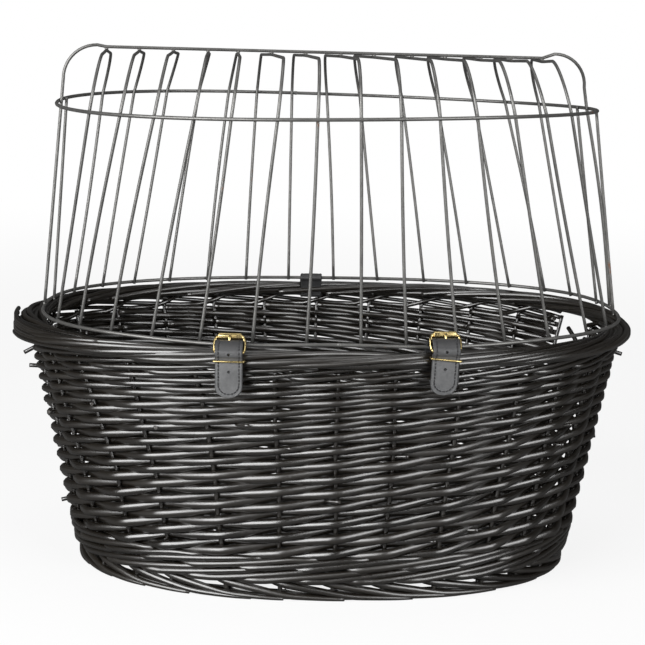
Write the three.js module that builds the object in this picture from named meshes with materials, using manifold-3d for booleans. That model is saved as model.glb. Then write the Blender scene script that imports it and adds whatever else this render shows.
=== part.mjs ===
// Dog bicycle basket: an oval willow basket with a hinged wire cage for a lid.
//
// Millimetres, +Z up, X along the basket, the buckled front towards -Y. The origin is the
// middle of the bounding box at the height of the foot, where the basket stands.
//
// The basket is built as a basket maker builds it: a foot border, a lower wale round the
// floor, the woven side, an upper wale, and a rolled rim border with the stakes' ends in it.
// The cage is bent wire: two hoops, fourteen arches, one spine and three upright bars, all
// inside the hoops. A leather loop holds the rear of the lower hoop and is its hinge. At the
// front two straps with brass roller buckles hold the hoop down on the rim.
import * as THREE from 'three';
import Module from 'manifold-3d';
import { mergeVertices } from 'three/addons/utils/BufferGeometryUtils.js';

// Clearance between two pieces that touch on the real basket
const GAP = 0.3;

// Sides of the round eyes and roller, and of the small hole in a strap
const ROUND_SIDES = 12;
const HOLE_SIDES = 8;

// The rim border is the widest part, and the top of the body lies this far in from it
const RIM_HALF_LENGTH = 250;
const RIM_HALF_WIDTH = 185.5;
const RIM_OVERHANG_LENGTH = 11.5;
const RIM_OVERHANG_WIDTH = 7.1;

// Woven body: an oval that flares evenly from the foot to the top of the side
const FOOT_HALF_LENGTH = 199;
const FOOT_HALF_WIDTH = 151;
const TOP_HALF_LENGTH = RIM_HALF_LENGTH - RIM_OVERHANG_LENGTH;
const TOP_HALF_WIDTH = RIM_HALF_WIDTH - RIM_OVERHANG_WIDTH;
const BODY_ROUNDNESS = 2.25;
const STAKE_COUNT = 28;
const STAKE_DIAMETER = 5;
const WEAVER_DIAMETER = 4.2;
const WEAVE_EDGE = 0.2;
const WEAVE_DIP = 0.45;
const WEAVE_GROOVE = 0.3;

// Heights of the bands, from the floor up
const FOOT_HEIGHT = 9;
const FOOT_WINDOW_HEIGHT = 5;
const LOWER_WALE_HEIGHT = 21;
const SIDE_HEIGHT = 127;
const UPPER_WALE_HEIGHT = 14;
const RIM_HEIGHT = 22;

// Widths of the bands, measured outwards
const FOOT_WIDTH = 15;
const WALE_WIDTH = 15.5;
const WALE_ROWS = 3;
const SIDE_ROWS = 24;
const SIDE_ROW_TAPER = 0.45;
const RIM_WIDTH = 27;
const RIM_RODS = 7;
const RIM_ROD_TURNS = 2;
const RIM_STATIONS = 56;
const FOOT_RODS = 4;
const FOOT_ROD_TURNS = 3;
const FOOT_STATIONS = 48;
const ROD_GROOVE = 0.15;
const BORDER_SQUARENESS = 2.5;
const FOOT_CUT_DEPTH = 4;

// Woven floor
const FLOOR_THICKNESS = 8;
const FLOOR_CROWN = 3;
const FLOOR_RINGS = 7;
const FLOOR_RELIEF = 3;

// Hand hole under the rim at the right end, towards the rear
const HAND_HOLE_CENTRE_Y = 58;
const HAND_HOLE_WIDTH = 48;
const HAND_HOLE_HEIGHT = 22;

// Cage wire and hoops. The lower hoop lies this far in from the rim's outer edge, and its
// middle sits a little to the right of the body's. The mid hoop is shorter and a little
// wider than the lower one, and is slightly twisted out of its plane
const CAGE_SHIFT = 5;
const HOOP_WIRE = 2.8;
const ARCH_WIRE = 2.5;
const HOOP_INSET_LENGTH = 18;
const HOOP_INSET_WIDTH = 24.9;
const LOWER_HOOP_HALF_LENGTH = RIM_HALF_LENGTH - HOOP_INSET_LENGTH;
const LOWER_HOOP_HALF_WIDTH = RIM_HALF_WIDTH - HOOP_INSET_WIDTH;
const LOWER_HOOP_ROUNDNESS = 2.39;
const MID_HOOP_SHORTER = 17.3;
const MID_HOOP_WIDER = 4.3;
const MID_HOOP_HALF_LENGTH = LOWER_HOOP_HALF_LENGTH - MID_HOOP_SHORTER;
const MID_HOOP_HALF_WIDTH = LOWER_HOOP_HALF_WIDTH + MID_HOOP_WIDER;
const MID_HOOP_ROUNDNESS = 2.17;
const MID_HOOP_SHIFT = -6;
const MID_HOOP_RISE = 164.2;
const MID_HOOP_TWIST = 0.00011;
const WIRE_NUB = 1.4;
const HOOP_STATIONS = 60;

// The arches' roof over the mid hoop
const ROOF_RISE = 38.5;
const SHOULDER_RADIUS = 42;
const SHOULDER_LIMIT = 0.55;
const ROOF_TILT = 0.028;
const ROOF_CROWN = 0.6;
const ROOF_FALL = 0.01;

// Each hand-bent arch along the cage: front foot, rear foot, front shoulder and rear
// shoulder, as shares of the lower hoop's half length from its middle
const ARCHES = [
  [-0.927, -0.922, -0.784, -0.784],
  [-0.845, -0.828, -0.672, -0.672],
  [-0.737, -0.716, -0.560, -0.552],
  [-0.603, -0.586, -0.435, -0.440],
  [-0.448, -0.444, -0.328, -0.341],
  [-0.280, -0.297, -0.190, -0.250],
  [-0.108, -0.134, -0.078, -0.129],
  [0.065, 0.039, 0.047, -0.013],
  [0.211, 0.207, 0.168, 0.095],
  [0.375, 0.384, 0.280, 0.246],
  [0.534, 0.543, 0.392, 0.362],
  [0.685, 0.698, 0.513, 0.487],
  [0.828, 0.819, 0.616, 0.591],
  [0.914, 0.901, 0.716, 0.711],
];

// Share of its lean that an arch has made by the mid hoop
const FRONT_MID_SHARE = 0.79;
const REAR_MID_SHARE = 0.72;

// Spine: one wire over the arches from end to end
const SPINE_WIRE = 2.6;
const SPINE_CORNER_RADIUS = 27;
const SPINE_LEGS = [
  { degrees: 180, cornerLift: 1 },
  { degrees: 4, cornerLift: 3.8 },
];

// Upright bars at the open ends: place round the hoops, in degrees from the right end. One
// ends under the mid hoop, the others run past the inside of it
const END_BARS = [
  { name: 'end_bar_right', degrees: -3.5, underHoop: true },
  { name: 'end_bar_rear_right', degrees: 12, underHoop: false },
  { name: 'end_bar_rear_left', degrees: 172, underHoop: false },
];

// Leather
const LEATHER = 1.6;
const LEATHER_BEND = 2.4;
const STRAP_WIDTH = 20.2;
const STRAP_LEFT_X = -75.2;
const STRAP_RIGHT_X = 79.2;
const STRAP_TURN = 5;
const STRAP_CLEARANCE = 2.3;
const STRAP_INSIDE_CLEARANCE = 1.6;
const EYE_WIDTH = 17;
const PRONG_SLOT_DROP = 4;
const TAIL_LENGTH_LEFT = 32.8;
const TAIL_LENGTH_RIGHT = 32.2;
const TAIL_HOLE = 2.2;
const TAIL_HOLE_DROP = 13.7;
const REAR_LOOP_WIDTH = 18.5;
const REAR_LOOP_X = -5.6;

// Bends of the strap's free end at the roller: how far back from the roller along the
// buckle, and how much more than its clearance behind the buckle's plane
const TAIL_BEHIND = [0.6, 0.2];
const TAIL_UNDER = [2.9, -0.8];
const TAIL_FRONT = 0.5;

// Its bends over the heel bar: degrees above level, and the slack there
const TAIL_HEEL_DEGREES = [50, 15, -20, -50];
const TAIL_HEEL_SLACK = 0.2;
const TAIL_RISE_SLACK = -1.6;

// Roller buckle
const BUCKLE_WIRE = 2.1;
const BUCKLE_WIDTH = 25.8;
const HEEL_WIDTH = 20.6;
const BUCKLE_REACH = 13;
const BUCKLE_LEAN = 32;
const HEEL_ABOVE_RIM_MIDDLE = 9.2;
const RIGHT_BUCKLE_RISE = 2.7;
const CHAMFER_TOP = 3.6;
const CHAMFER_HEEL = 3.2;
const BUCKLE_CORNER = 0.8;
const ROLLER_DIAMETER = 4.8;
const ROLLER_LENGTH = 17.2;
const PRONG_WIRE = 1.8;
const PRONG_CURL_START = -5;
const PRONG_CURL = -265;
const PRONG_CURL_STEPS = 10;
const KEEPER_WIRE = 1.3;
const KEEPER_DROP_LEFT = 5.9;
const KEEPER_DROP_RIGHT = 6.1;
const KEEPER_TILT_RIGHT = 6;
const KEEPER_CORNER = 0.6;

// Finishes
const WILLOW = { color: 0x1d1a17, roughness: 0.42, metalness: 0 };
const WIRE_FINISH = { color: 0x3d3a36, roughness: 0.38, metalness: 0.75 };
const LEATHER_FINISH = { color: 0x4a4b4e, roughness: 0.55, metalness: 0 };
const BRASS = { color: 0xc9a24a, roughness: 0.24, metalness: 1 };

const wasm = await Module();
wasm.setup();

const UP = new THREE.Vector3(0, 0, 1);
const ALONG = new THREE.Vector3(1, 0, 0);
const basket = new THREE.Group();
const cage = new THREE.Group();
cage.position.x = CAGE_SHIFT;
basket.add(cage);

// Every piece is one named mesh in its own colour
function addPiece(name, geometry, finish, group = basket) {
  const mesh = new THREE.Mesh(geometry, new THREE.MeshStandardMaterial(finish));
  mesh.name = name;
  group.add(mesh);
}

function addWire(name, geometry) {
  addPiece(name, geometry, WIRE_FINISH, cage);
}

function vec(x, y, z) {
  return new THREE.Vector3(x, y, z);
}

// Closed mesh from corners and triangles, turned so that its faces point out
function closedGeometry(corners, triangles) {
  let volume = 0;
  for (const [a, b, c] of triangles) {
    volume += corners[a].dot(corners[b].clone().cross(corners[c]));
  }
  const index = volume > 0 ? triangles.flat() : triangles.map(([a, b, c]) => [a, c, b]).flat();
  const positions = corners.flatMap((p) => [p.x, p.y, p.z]);
  const geometry = new THREE.BufferGeometry();
  geometry.setAttribute('position', new THREE.Float32BufferAttribute(positions, 3));
  geometry.setIndex(index);
  geometry.computeVertexNormals();
  return geometry;
}

// Skin over a row of sections with equal numbers of corners. A closed row joins its last
// section to its first; an open row gets two end caps.
function skin(sections, closed) {
  const sides = sections[0].length;
  const corners = sections.flat();
  const triangles = [];
  const last = closed ? sections.length : sections.length - 1;
  for (let s = 0; s < last; s++) {
    const next = (s + 1) % sections.length;
    for (let k = 0; k < sides; k++) {
      const k2 = (k + 1) % sides;
      const a = s * sides + k;
      const b = s * sides + k2;
      const c = next * sides + k2;
      const d = next * sides + k;
      triangles.push([a, b, c], [a, c, d]);
    }
  }
  if (!closed) {
    const end = (sections.length - 1) * sides;
    for (let k = 1; k < sides - 1; k++) {
      triangles.push([0, k + 1, k], [end, end + k, end + k + 1]);
    }
  }
  return closedGeometry(corners, triangles);
}

// Round wire along open points, its section carried on without twist
function wire(points, diameter, sides = 6) {
  const sections = [];
  let side = null;
  points.forEach((point, i) => {
    const before = points[Math.max(i - 1, 0)];
    const after = points[Math.min(i + 1, points.length - 1)];
    const forward = after.clone().sub(before).normalize();
    if (side === null) {
      side = Math.abs(forward.x) > 0.9 ? UP.clone() : ALONG.clone();
    }
    side.addScaledVector(forward, -side.dot(forward)).normalize();
    const across = forward.clone().cross(side);
    sections.push(circleOf(point, side, across, diameter / 2, sides));
  });
  return skin(sections, false);
}

// Round wire along a closed flat loop, with normal square to the loop's plane
function wireLoop(points, diameter, normal, sides = 6) {
  const sections = points.map((point, i) => {
    const before = points[(i + points.length - 1) % points.length];
    const after = points[(i + 1) % points.length];
    const forward = after.clone().sub(before).normalize();
    const across = forward.clone().cross(normal).normalize();
    return circleOf(point, across, normal, diameter / 2, sides);
  });
  return skin(sections, true);
}

function circleOf(centre, axisA, axisB, radius, sides) {
  const ring = [];
  for (let k = 0; k < sides; k++) {
    const angle = (2 * Math.PI * (k + 0.5)) / sides;
    ring.push(
      centre
        .clone()
        .addScaledVector(axisA, radius * Math.cos(angle))
        .addScaledVector(axisB, radius * Math.sin(angle)),
    );
  }
  return ring;
}

// Union and difference of closed meshes
function solidOf(geometry) {
  const bare = geometry.clone();
  bare.deleteAttribute('normal');
  bare.deleteAttribute('uv');
  const merged = mergeVertices(bare, 1e-4);
  const vertProperties = new Float32Array(merged.attributes.position.array);
  const triVerts = new Uint32Array(merged.index.array);
  return new wasm.Manifold(new wasm.Mesh({ numProp: 3, vertProperties, triVerts }));
}

function geometryOf(solid) {
  const mesh = solid.getMesh();
  const geometry = new THREE.BufferGeometry();
  geometry.setAttribute('position', new THREE.BufferAttribute(new Float32Array(mesh.vertProperties), 3));
  geometry.setIndex(new THREE.BufferAttribute(new Uint32Array(mesh.triVerts), 1));
  geometry.computeVertexNormals();
  return geometry;
}

function block(low, high) {
  const size = high.clone().sub(low);
  const geometry = new THREE.BoxGeometry(size.x, size.y, size.z);
  geometry.translate((low.x + high.x) / 2, (low.y + high.y) / 2, (low.z + high.z) / 2);
  return solidOf(geometry);
}

// Oval with rounded corners: roundness 2 is an ellipse, more is squarer
function ovalPoint(halfLength, halfWidth, roundness, angle) {
  const c = Math.cos(angle);
  const s = Math.sin(angle);
  return new THREE.Vector2(
    halfLength * Math.sign(c) * Math.abs(c) ** (2 / roundness),
    halfWidth * Math.sign(s) * Math.abs(s) ** (2 / roundness),
  );
}

function ovalNormal(halfLength, halfWidth, roundness, point) {
  const x = Math.sign(point.x) * Math.abs(point.x / halfLength) ** (roundness - 1) / halfLength;
  const y = Math.sign(point.y) * Math.abs(point.y / halfWidth) ** (roundness - 1) / halfWidth;
  return new THREE.Vector2(x, y).normalize();
}

// Depth of the oval at a distance along it
function ovalDepth(halfLength, halfWidth, roundness, x) {
  return halfWidth * Math.max(1 - Math.abs(x / halfLength) ** roundness, 0) ** (1 / roundness);
}

// Angles that space count points evenly round an oval
function evenAngles(halfLength, halfWidth, roundness, count) {
  const fine = 2880;
  const lengths = [0];
  let previous = ovalPoint(halfLength, halfWidth, roundness, 0);
  for (let i = 1; i <= fine; i++) {
    const point = ovalPoint(halfLength, halfWidth, roundness, (2 * Math.PI * i) / fine);
    lengths.push(lengths[i - 1] + point.distanceTo(previous));
    previous = point;
  }
  const angles = [];
  let i = 0;
  for (let k = 0; k < count; k++) {
    const target = (lengths[fine] * k) / count;
    while (lengths[i + 1] < target) {
      i += 1;
    }
    const part = (target - lengths[i]) / (lengths[i + 1] - lengths[i]);
    angles.push((2 * Math.PI * (i + part)) / fine);
  }
  return angles;
}

// Heights and ovals of the woven body
const lowerWaleBottom = FOOT_HEIGHT + FOOT_WINDOW_HEIGHT;
const sideBottom = lowerWaleBottom + LOWER_WALE_HEIGHT + GAP;
const upperWaleBottom = sideBottom + SIDE_HEIGHT + GAP;
const upperWaleTop = upperWaleBottom + UPPER_WALE_HEIGHT;
const rimBottom = upperWaleTop + GAP;
const rimTop = rimBottom + RIM_HEIGHT;
const rimMiddle = rimBottom + RIM_HEIGHT / 2;
const weaveThickness = STAKE_DIAMETER + 2 * WEAVER_DIAMETER;

function bodyHalfLength(z) {
  return FOOT_HALF_LENGTH + ((TOP_HALF_LENGTH - FOOT_HALF_LENGTH) * z) / upperWaleTop;
}

function bodyHalfWidth(z) {
  return FOOT_HALF_WIDTH + ((TOP_HALF_WIDTH - FOOT_HALF_WIDTH) * z) / upperWaleTop;
}

const stakeAngles = evenAngles(
  bodyHalfLength(upperWaleTop / 2),
  bodyHalfWidth(upperWaleTop / 2),
  BODY_ROUNDNESS,
  2 * STAKE_COUNT,
);

// Point of the body's middle surface, moved outwards by an offset
function bodyPoint(angle, z, offset) {
  const a = bodyHalfLength(z) - weaveThickness / 2;
  const b = bodyHalfWidth(z) - weaveThickness / 2;
  const point = ovalPoint(a, b, BODY_ROUNDNESS, angle);
  const normal = ovalNormal(a, b, BODY_ROUNDNESS, point);
  return vec(point.x + offset * normal.x, point.y + offset * normal.y, z);
}

// Band of weave between two heights: rods bulge over each stake and dip between stakes, and
// a groove runs round between one row and the next
function weaveBand(bottom, top, thickness, rows) {
  const rowHeight = (top - bottom) / rows;
  const edge = rowHeight * WEAVE_EDGE;
  const sections = stakeAngles.map((angle, i) => {
    const half = thickness / 2 - (i % 2 === 0 ? 0 : WEAVER_DIAMETER * WEAVE_DIP);
    const section = [];
    for (let r = 0; r < rows; r++) {
      const low = bottom + rowHeight * r;
      const first = r === 0 ? low : low + edge;
      const last = r === rows - 1 ? top : low + rowHeight - edge;
      section.push(bodyPoint(angle, first, half), bodyPoint(angle, last, half));
      if (r < rows - 1) {
        section.push(bodyPoint(angle, low + rowHeight, half - WEAVER_DIAMETER * WEAVE_GROOVE));
      }
    }
    section.push(bodyPoint(angle, top, -half), bodyPoint(angle, bottom, -half));
    return section;
  });
  return skin(sections, true);
}

// Rolled border: rods lie side by side round a flattened section and wind slowly round it
function rolledBorder({ halfLength, halfWidth, width, middle, halfHeight, rods, turns, stations }) {
  const a = halfLength - width / 2;
  const b = halfWidth - width / 2;
  const angles = evenAngles(a, b, BODY_ROUNDNESS, stations);
  const corners = 2 * rods;
  const sections = angles.map((angle, i) => {
    const centre = ovalPoint(a, b, BODY_ROUNDNESS, angle);
    const normal = ovalNormal(a, b, BODY_ROUNDNESS, centre);
    const section = [];
    for (let k = 0; k < corners; k++) {
      const place = 2 * Math.PI * (k / corners + (turns * i) / stations);
      const scale = k % 2 === 0 ? 1 : 1 - ROD_GROOVE;
      const round = ovalPoint((width / 2) * scale, halfHeight * scale, BORDER_SQUARENESS, place);
      section.push(vec(centre.x + round.x * normal.x, centre.y + round.x * normal.y, middle + round.y));
    }
    return section;
  });
  return skin(sections, true);
}

// Foot: a rolled border cut flat where it stands, with the stakes' butts rising from it
function makeFoot() {
  const halfHeight = (FOOT_HEIGHT + FOOT_CUT_DEPTH) / 2;
  const border = rolledBorder({
    halfLength: FOOT_HALF_LENGTH,
    halfWidth: FOOT_HALF_WIDTH,
    width: FOOT_WIDTH,
    middle: FOOT_HEIGHT - halfHeight,
    halfHeight,
    rods: FOOT_RODS,
    turns: FOOT_ROD_TURNS,
    stations: FOOT_STATIONS,
  });
  let foot = solidOf(border);
  for (let s = 0; s < STAKE_COUNT; s++) {
    const angle = stakeAngles[2 * s];
    const low = bodyPoint(angle, FOOT_HEIGHT / 2, 0);
    const high = bodyPoint(angle, lowerWaleBottom, 0);
    foot = foot.add(solidOf(wire([low, high], STAKE_DIAMETER, 5)));
  }
  const reach = 2 * FOOT_HALF_LENGTH;
  const between = block(vec(-reach, -reach, 0), vec(reach, reach, lowerWaleBottom - GAP));
  foot = foot.intersect(between);
  addPiece('foot_border', geometryOf(foot), WILLOW);
}

// Floor: a woven oval, slightly domed. Its rods pass over one stick and under the next.
function makeFloor() {
  const bottom = lowerWaleBottom + GAP;
  const outline = [];
  for (let k = 0; k < STAKE_COUNT; k++) {
    outline.push(bodyPoint(stakeAngles[2 * k], bottom, -WALE_WIDTH / 2 - GAP));
  }
  const corners = [];
  const triangles = [];
  for (const upper of [false, true]) {
    for (let r = 0; r < FLOOR_RINGS; r++) {
      const share = 1 - r / FLOOR_RINGS;
      const rise = FLOOR_CROWN * (1 - share * share);
      outline.forEach((point, k) => {
        const over = (k + r) % 2 === 0;
        const level = upper ? FLOOR_THICKNESS - (over ? 0 : FLOOR_RELIEF) : over ? FLOOR_RELIEF : 0;
        corners.push(vec(point.x * share, point.y * share, bottom + level + rise));
      });
    }
    corners.push(vec(0, 0, bottom + FLOOR_CROWN + (upper ? FLOOR_THICKNESS : 0)));
  }
  const n = STAKE_COUNT;
  const layer = FLOOR_RINGS * n + 1;
  const quad = (p, q, r, s) => triangles.push([p, q, r], [p, r, s]);
  for (let k = 0; k < n; k++) {
    const k2 = (k + 1) % n;
    quad(k, k2, layer + k2, layer + k);
    for (let r = 0; r < FLOOR_RINGS - 1; r++) {
      quad(r * n + k2, r * n + k, (r + 1) * n + k, (r + 1) * n + k2);
      quad(layer + r * n + k, layer + r * n + k2, layer + (r + 1) * n + k2, layer + (r + 1) * n + k);
    }
    const inner = (FLOOR_RINGS - 1) * n;
    triangles.push([inner + k2, inner + k, FLOOR_RINGS * n]);
    triangles.push([layer + inner + k, layer + inner + k2, layer + FLOOR_RINGS * n]);
  }
  addPiece('floor_weave', closedGeometry(corners, triangles), WILLOW);
}

// Height of a row of the side: the rows lie closer towards the rim, as the rods thin out
function sideRowHeight(row) {
  const mean = SIDE_HEIGHT / SIDE_ROWS;
  const taper = SIDE_ROW_TAPER * mean;
  return sideBottom + (mean + taper / 2) * row - (taper * row * row) / (2 * SIDE_ROWS);
}

// Side of slanting rods: each bulges over one stake, goes behind the next and rises by one
// row on its way. The inner face lies at the rods' mean depth.
function sideBand() {
  const corners = [];
  const triangles = [];
  const inside = -(STAKE_DIAMETER + WEAVER_DIAMETER) / 2;
  for (let s = 0; s < STAKE_COUNT; s++) {
    const angle = stakeAngles[2 * s];
    for (let row = 0; row <= SIDE_ROWS; row++) {
      const bulge = row % 2 === 0 ? WEAVER_DIAMETER : 0;
      corners.push(bodyPoint(angle, sideRowHeight(row), STAKE_DIAMETER / 2 + bulge));
    }
    corners.push(bodyPoint(angle, sideRowHeight(SIDE_ROWS), inside));
    corners.push(bodyPoint(angle, sideRowHeight(0), inside));
  }
  const count = SIDE_ROWS + 3;
  const top = SIDE_ROWS;
  for (let s = 0; s < STAKE_COUNT; s++) {
    const here = s * count;
    const next = ((s + 1) % STAKE_COUNT) * count;
    triangles.push([here, next, next + 1], [here + top - 1, next + top, here + top]);
    for (let r = 0; r < SIDE_ROWS - 1; r++) {
      if (r % 2 === 0) {
        triangles.push([here + r, next + r + 1, here + r + 1]);
        triangles.push([here + r + 1, next + r + 1, next + r + 2]);
      } else {
        triangles.push([here + r, next + r + 1, next + r + 2]);
        triangles.push([here + r, next + r + 2, here + r + 1]);
      }
    }
    for (const [p, q] of [
      [top, top + 1],
      [top + 1, top + 2],
      [top + 2, 0],
    ]) {
      triangles.push([here + p, next + p, next + q], [here + p, next + q, here + q]);
    }
  }
  return closedGeometry(corners, triangles);
}

// Side and wales, with the hand hole and the slots that the leather passes through
function makeWall() {
  const lowerWaleTop = lowerWaleBottom + LOWER_WALE_HEIGHT;
  addPiece('lower_wale', weaveBand(lowerWaleBottom, lowerWaleTop, WALE_WIDTH, WALE_ROWS), WILLOW);
  const reach = 2 * RIM_HALF_LENGTH;
  const hole = block(
    vec(0, HAND_HOLE_CENTRE_Y - HAND_HOLE_WIDTH / 2, upperWaleTop - HAND_HOLE_HEIGHT),
    vec(reach, HAND_HOLE_CENTRE_Y + HAND_HOLE_WIDTH / 2, rimTop),
  );
  const side = solidOf(sideBand()).subtract(hole);
  addPiece('side_weave', geometryOf(side), WILLOW);
  let wale = solidOf(weaveBand(upperWaleBottom, upperWaleTop, WALE_WIDTH, WALE_ROWS)).subtract(hole);
  const slotBottom = rimBottom - 2 * GAP - LEATHER;
  for (const [place, width] of [
    [strapLeftPlace, STRAP_WIDTH],
    [strapRightPlace, STRAP_WIDTH],
    [rearLoopPlace, REAR_LOOP_WIDTH],
  ]) {
    const slot = placeBlock(place, [-RIM_WIDTH, RIM_WIDTH], [slotBottom, rimTop], width / 2 + GAP);
    wale = wale.subtract(slot);
  }
  addPiece('upper_wale', geometryOf(wale), WILLOW);
}

function makeRim() {
  const border = rolledBorder({
    halfLength: RIM_HALF_LENGTH,
    halfWidth: RIM_HALF_WIDTH,
    width: RIM_WIDTH,
    middle: rimMiddle,
    halfHeight: RIM_HEIGHT / 2,
    rods: RIM_RODS,
    turns: RIM_ROD_TURNS,
    stations: RIM_STATIONS,
  });
  addPiece('rim_border', border, WILLOW);
}

// Cage: the lower hoop lies on the rim, and everything else stands inside the hoops
const lowerHoopHeight = rimTop + GAP + HOOP_WIRE / 2;
const midHoopHeight = lowerHoopHeight + MID_HOOP_RISE;
const roofHeight = midHoopHeight + ROOF_RISE;
const insideHoop = HOOP_WIRE / 2 + ARCH_WIRE / 2 + GAP;
const spineSeat = ARCH_WIRE / 2 + SPINE_WIRE / 2 + GAP;

const LOWER_HOOP = {
  halfLength: LOWER_HOOP_HALF_LENGTH,
  halfWidth: LOWER_HOOP_HALF_WIDTH,
  roundness: LOWER_HOOP_ROUNDNESS,
  shift: 0,
  height: lowerHoopHeight,
  twist: 0,
};
const MID_HOOP = {
  halfLength: MID_HOOP_HALF_LENGTH,
  halfWidth: MID_HOOP_HALF_WIDTH,
  roundness: MID_HOOP_ROUNDNESS,
  shift: MID_HOOP_SHIFT,
  height: midHoopHeight,
  twist: MID_HOOP_TWIST,
};

// Point of a hoop's oval, moved inwards by an inset
function hoopPoint(hoop, inset, angle) {
  const point = ovalPoint(hoop.halfLength - inset, hoop.halfWidth - inset, hoop.roundness, angle);
  return vec(point.x + hoop.shift, point.y, hoop.height - hoop.twist * point.x * point.y);
}

// Point of the front or rear of a hoop's oval at a distance along the cage
function hoopSide(hoop, inset, x, towards) {
  const along = x - hoop.shift;
  const y = towards * ovalDepth(hoop.halfLength - inset, hoop.halfWidth - inset, hoop.roundness, along);
  return vec(x, y, hoop.height - hoop.twist * along * y);
}

function makeHoop(name, hoop) {
  const angles = evenAngles(hoop.halfLength, hoop.halfWidth, hoop.roundness, HOOP_STATIONS);
  const path = angles.map((angle) => hoopPoint(hoop, 0, angle));
  addWire(name, wireLoop(path, HOOP_WIRE, UP));
}

// One half of an arch, from its nub up to the shoulder; towards is -1 at the front
function archHalf(footX, shoulderX, midShare, towards) {
  const midX = THREE.MathUtils.lerp(footX, shoulderX, midShare);
  const foot = hoopSide(LOWER_HOOP, insideHoop, footX, towards);
  const mid = hoopSide(MID_HOOP, insideHoop, midX, towards);
  const slope = mid.clone().sub(foot).divideScalar(mid.z - foot.z);
  const points = [foot.addScaledVector(slope, -WIRE_NUB), mid];
  const radius = Math.min(SHOULDER_RADIUS, Math.abs(mid.y) * SHOULDER_LIMIT);
  const shoulderZ = roofHeight - towards * ROOF_TILT * (Math.abs(mid.y) - radius);
  const steps = 5;
  for (let i = 1; i <= steps; i++) {
    const angle = (Math.PI / 2) * (i / steps);
    const x = THREE.MathUtils.lerp(mid.x, shoulderX, Math.sin(angle));
    const y = mid.y - towards * radius * (1 - Math.cos(angle));
    const z = THREE.MathUtils.lerp(mid.z, shoulderZ, Math.sin(angle));
    points.push(vec(x, y, z));
  }
  return points;
}

function archPlaces(arch) {
  return arch.map((share) => share * LOWER_HOOP_HALF_LENGTH);
}

// Top of an arch, half way between its shoulders
function archCrown(arch) {
  const [, , frontShoulder, rearShoulder] = archPlaces(arch);
  const x = (frontShoulder + rearShoulder) / 2;
  return vec(x, 0, roofHeight + ROOF_CROWN - ROOF_FALL * x);
}

function makeArches() {
  ARCHES.forEach((arch, i) => {
    const [frontFoot, rearFoot, frontShoulder, rearShoulder] = archPlaces(arch);
    const frontHalf = archHalf(frontFoot, frontShoulder, FRONT_MID_SHARE, -1);
    const rearHalf = archHalf(rearFoot, rearShoulder, REAR_MID_SHARE, 1);
    const path = [...frontHalf, archCrown(arch), ...rearHalf.reverse()];
    addWire(`arch_${String(i + 1).padStart(2, '0')}`, wire(path, ARCH_WIRE));
  });
}

function makeEndBars() {
  for (const { name, degrees, underHoop } of END_BARS) {
    const angle = THREE.MathUtils.degToRad(degrees);
    const foot = hoopPoint(LOWER_HOOP, insideHoop, angle);
    const head = hoopPoint(MID_HOOP, underHoop ? 0 : insideHoop, angle);
    const slope = head.clone().sub(foot).divideScalar(head.z - foot.z);
    foot.addScaledVector(slope, -WIRE_NUB);
    head.addScaledVector(slope, underHoop ? -HOOP_WIRE / 2 - GAP : WIRE_NUB);
    addWire(name, wire([foot, head], ARCH_WIRE));
  }
}

// Spine: its legs stand on the lower hoop and pass inside the mid hoop
function makeSpine() {
  const [left, right] = SPINE_LEGS.map(({ degrees, cornerLift }) => {
    const angle = THREE.MathUtils.degToRad(degrees);
    const foot = hoopPoint(LOWER_HOOP, 0, angle);
    const mid = hoopPoint(MID_HOOP, HOOP_WIRE / 2 + SPINE_WIRE / 2 + GAP, angle);
    const slope = mid.clone().sub(foot).divideScalar(mid.z - foot.z);
    const crown = roofHeight + ROOF_CROWN - ROOF_FALL * mid.x;
    const rise = crown + spineSeat + cornerLift - SPINE_CORNER_RADIUS - mid.z;
    const start = mid.clone().addScaledVector(slope, rise);
    const points = [foot.addScaledVector(slope, HOOP_WIRE / 2 + GAP), mid];
    const inward = -Math.sign(mid.x);
    const steps = 6;
    for (let i = 0; i <= steps; i++) {
      const turn = (Math.PI / 2) * (i / steps);
      const x = start.x + inward * SPINE_CORNER_RADIUS * (1 - Math.cos(turn));
      points.push(vec(x, start.y * (1 - i / steps), start.z + SPINE_CORNER_RADIUS * Math.sin(turn)));
    }
    return points;
  });
  const flat = ARCHES.map((arch) => archCrown(arch).addScaledVector(UP, spineSeat));
  addWire('spine', wire([...left, ...flat, ...right.reverse()], SPINE_WIRE));
}

// Leather ribbon seen from the side, along points given outwards and up
function ribbonShape(points, thickness) {
  const path = points.map(([p, q]) => new THREE.Vector2(p, q));
  const left = [];
  const right = [];
  path.forEach((point, i) => {
    const before = path[Math.max(i - 1, 0)];
    const after = path[Math.min(i + 1, path.length - 1)];
    const first = i > 0 ? point.clone().sub(before).normalize() : after.clone().sub(point).normalize();
    const second = i < path.length - 1 ? after.clone().sub(point).normalize() : first.clone();
    const bisector = first.clone().add(second).normalize();
    const normal = new THREE.Vector2(-bisector.y, bisector.x);
    const stretch = thickness / 2 / Math.max(bisector.dot(first), 0.5);
    left.push(point.clone().addScaledVector(normal, stretch));
    right.push(point.clone().addScaledVector(normal, -stretch));
  });
  return new THREE.Shape([...left, ...right.reverse()]);
}

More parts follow.
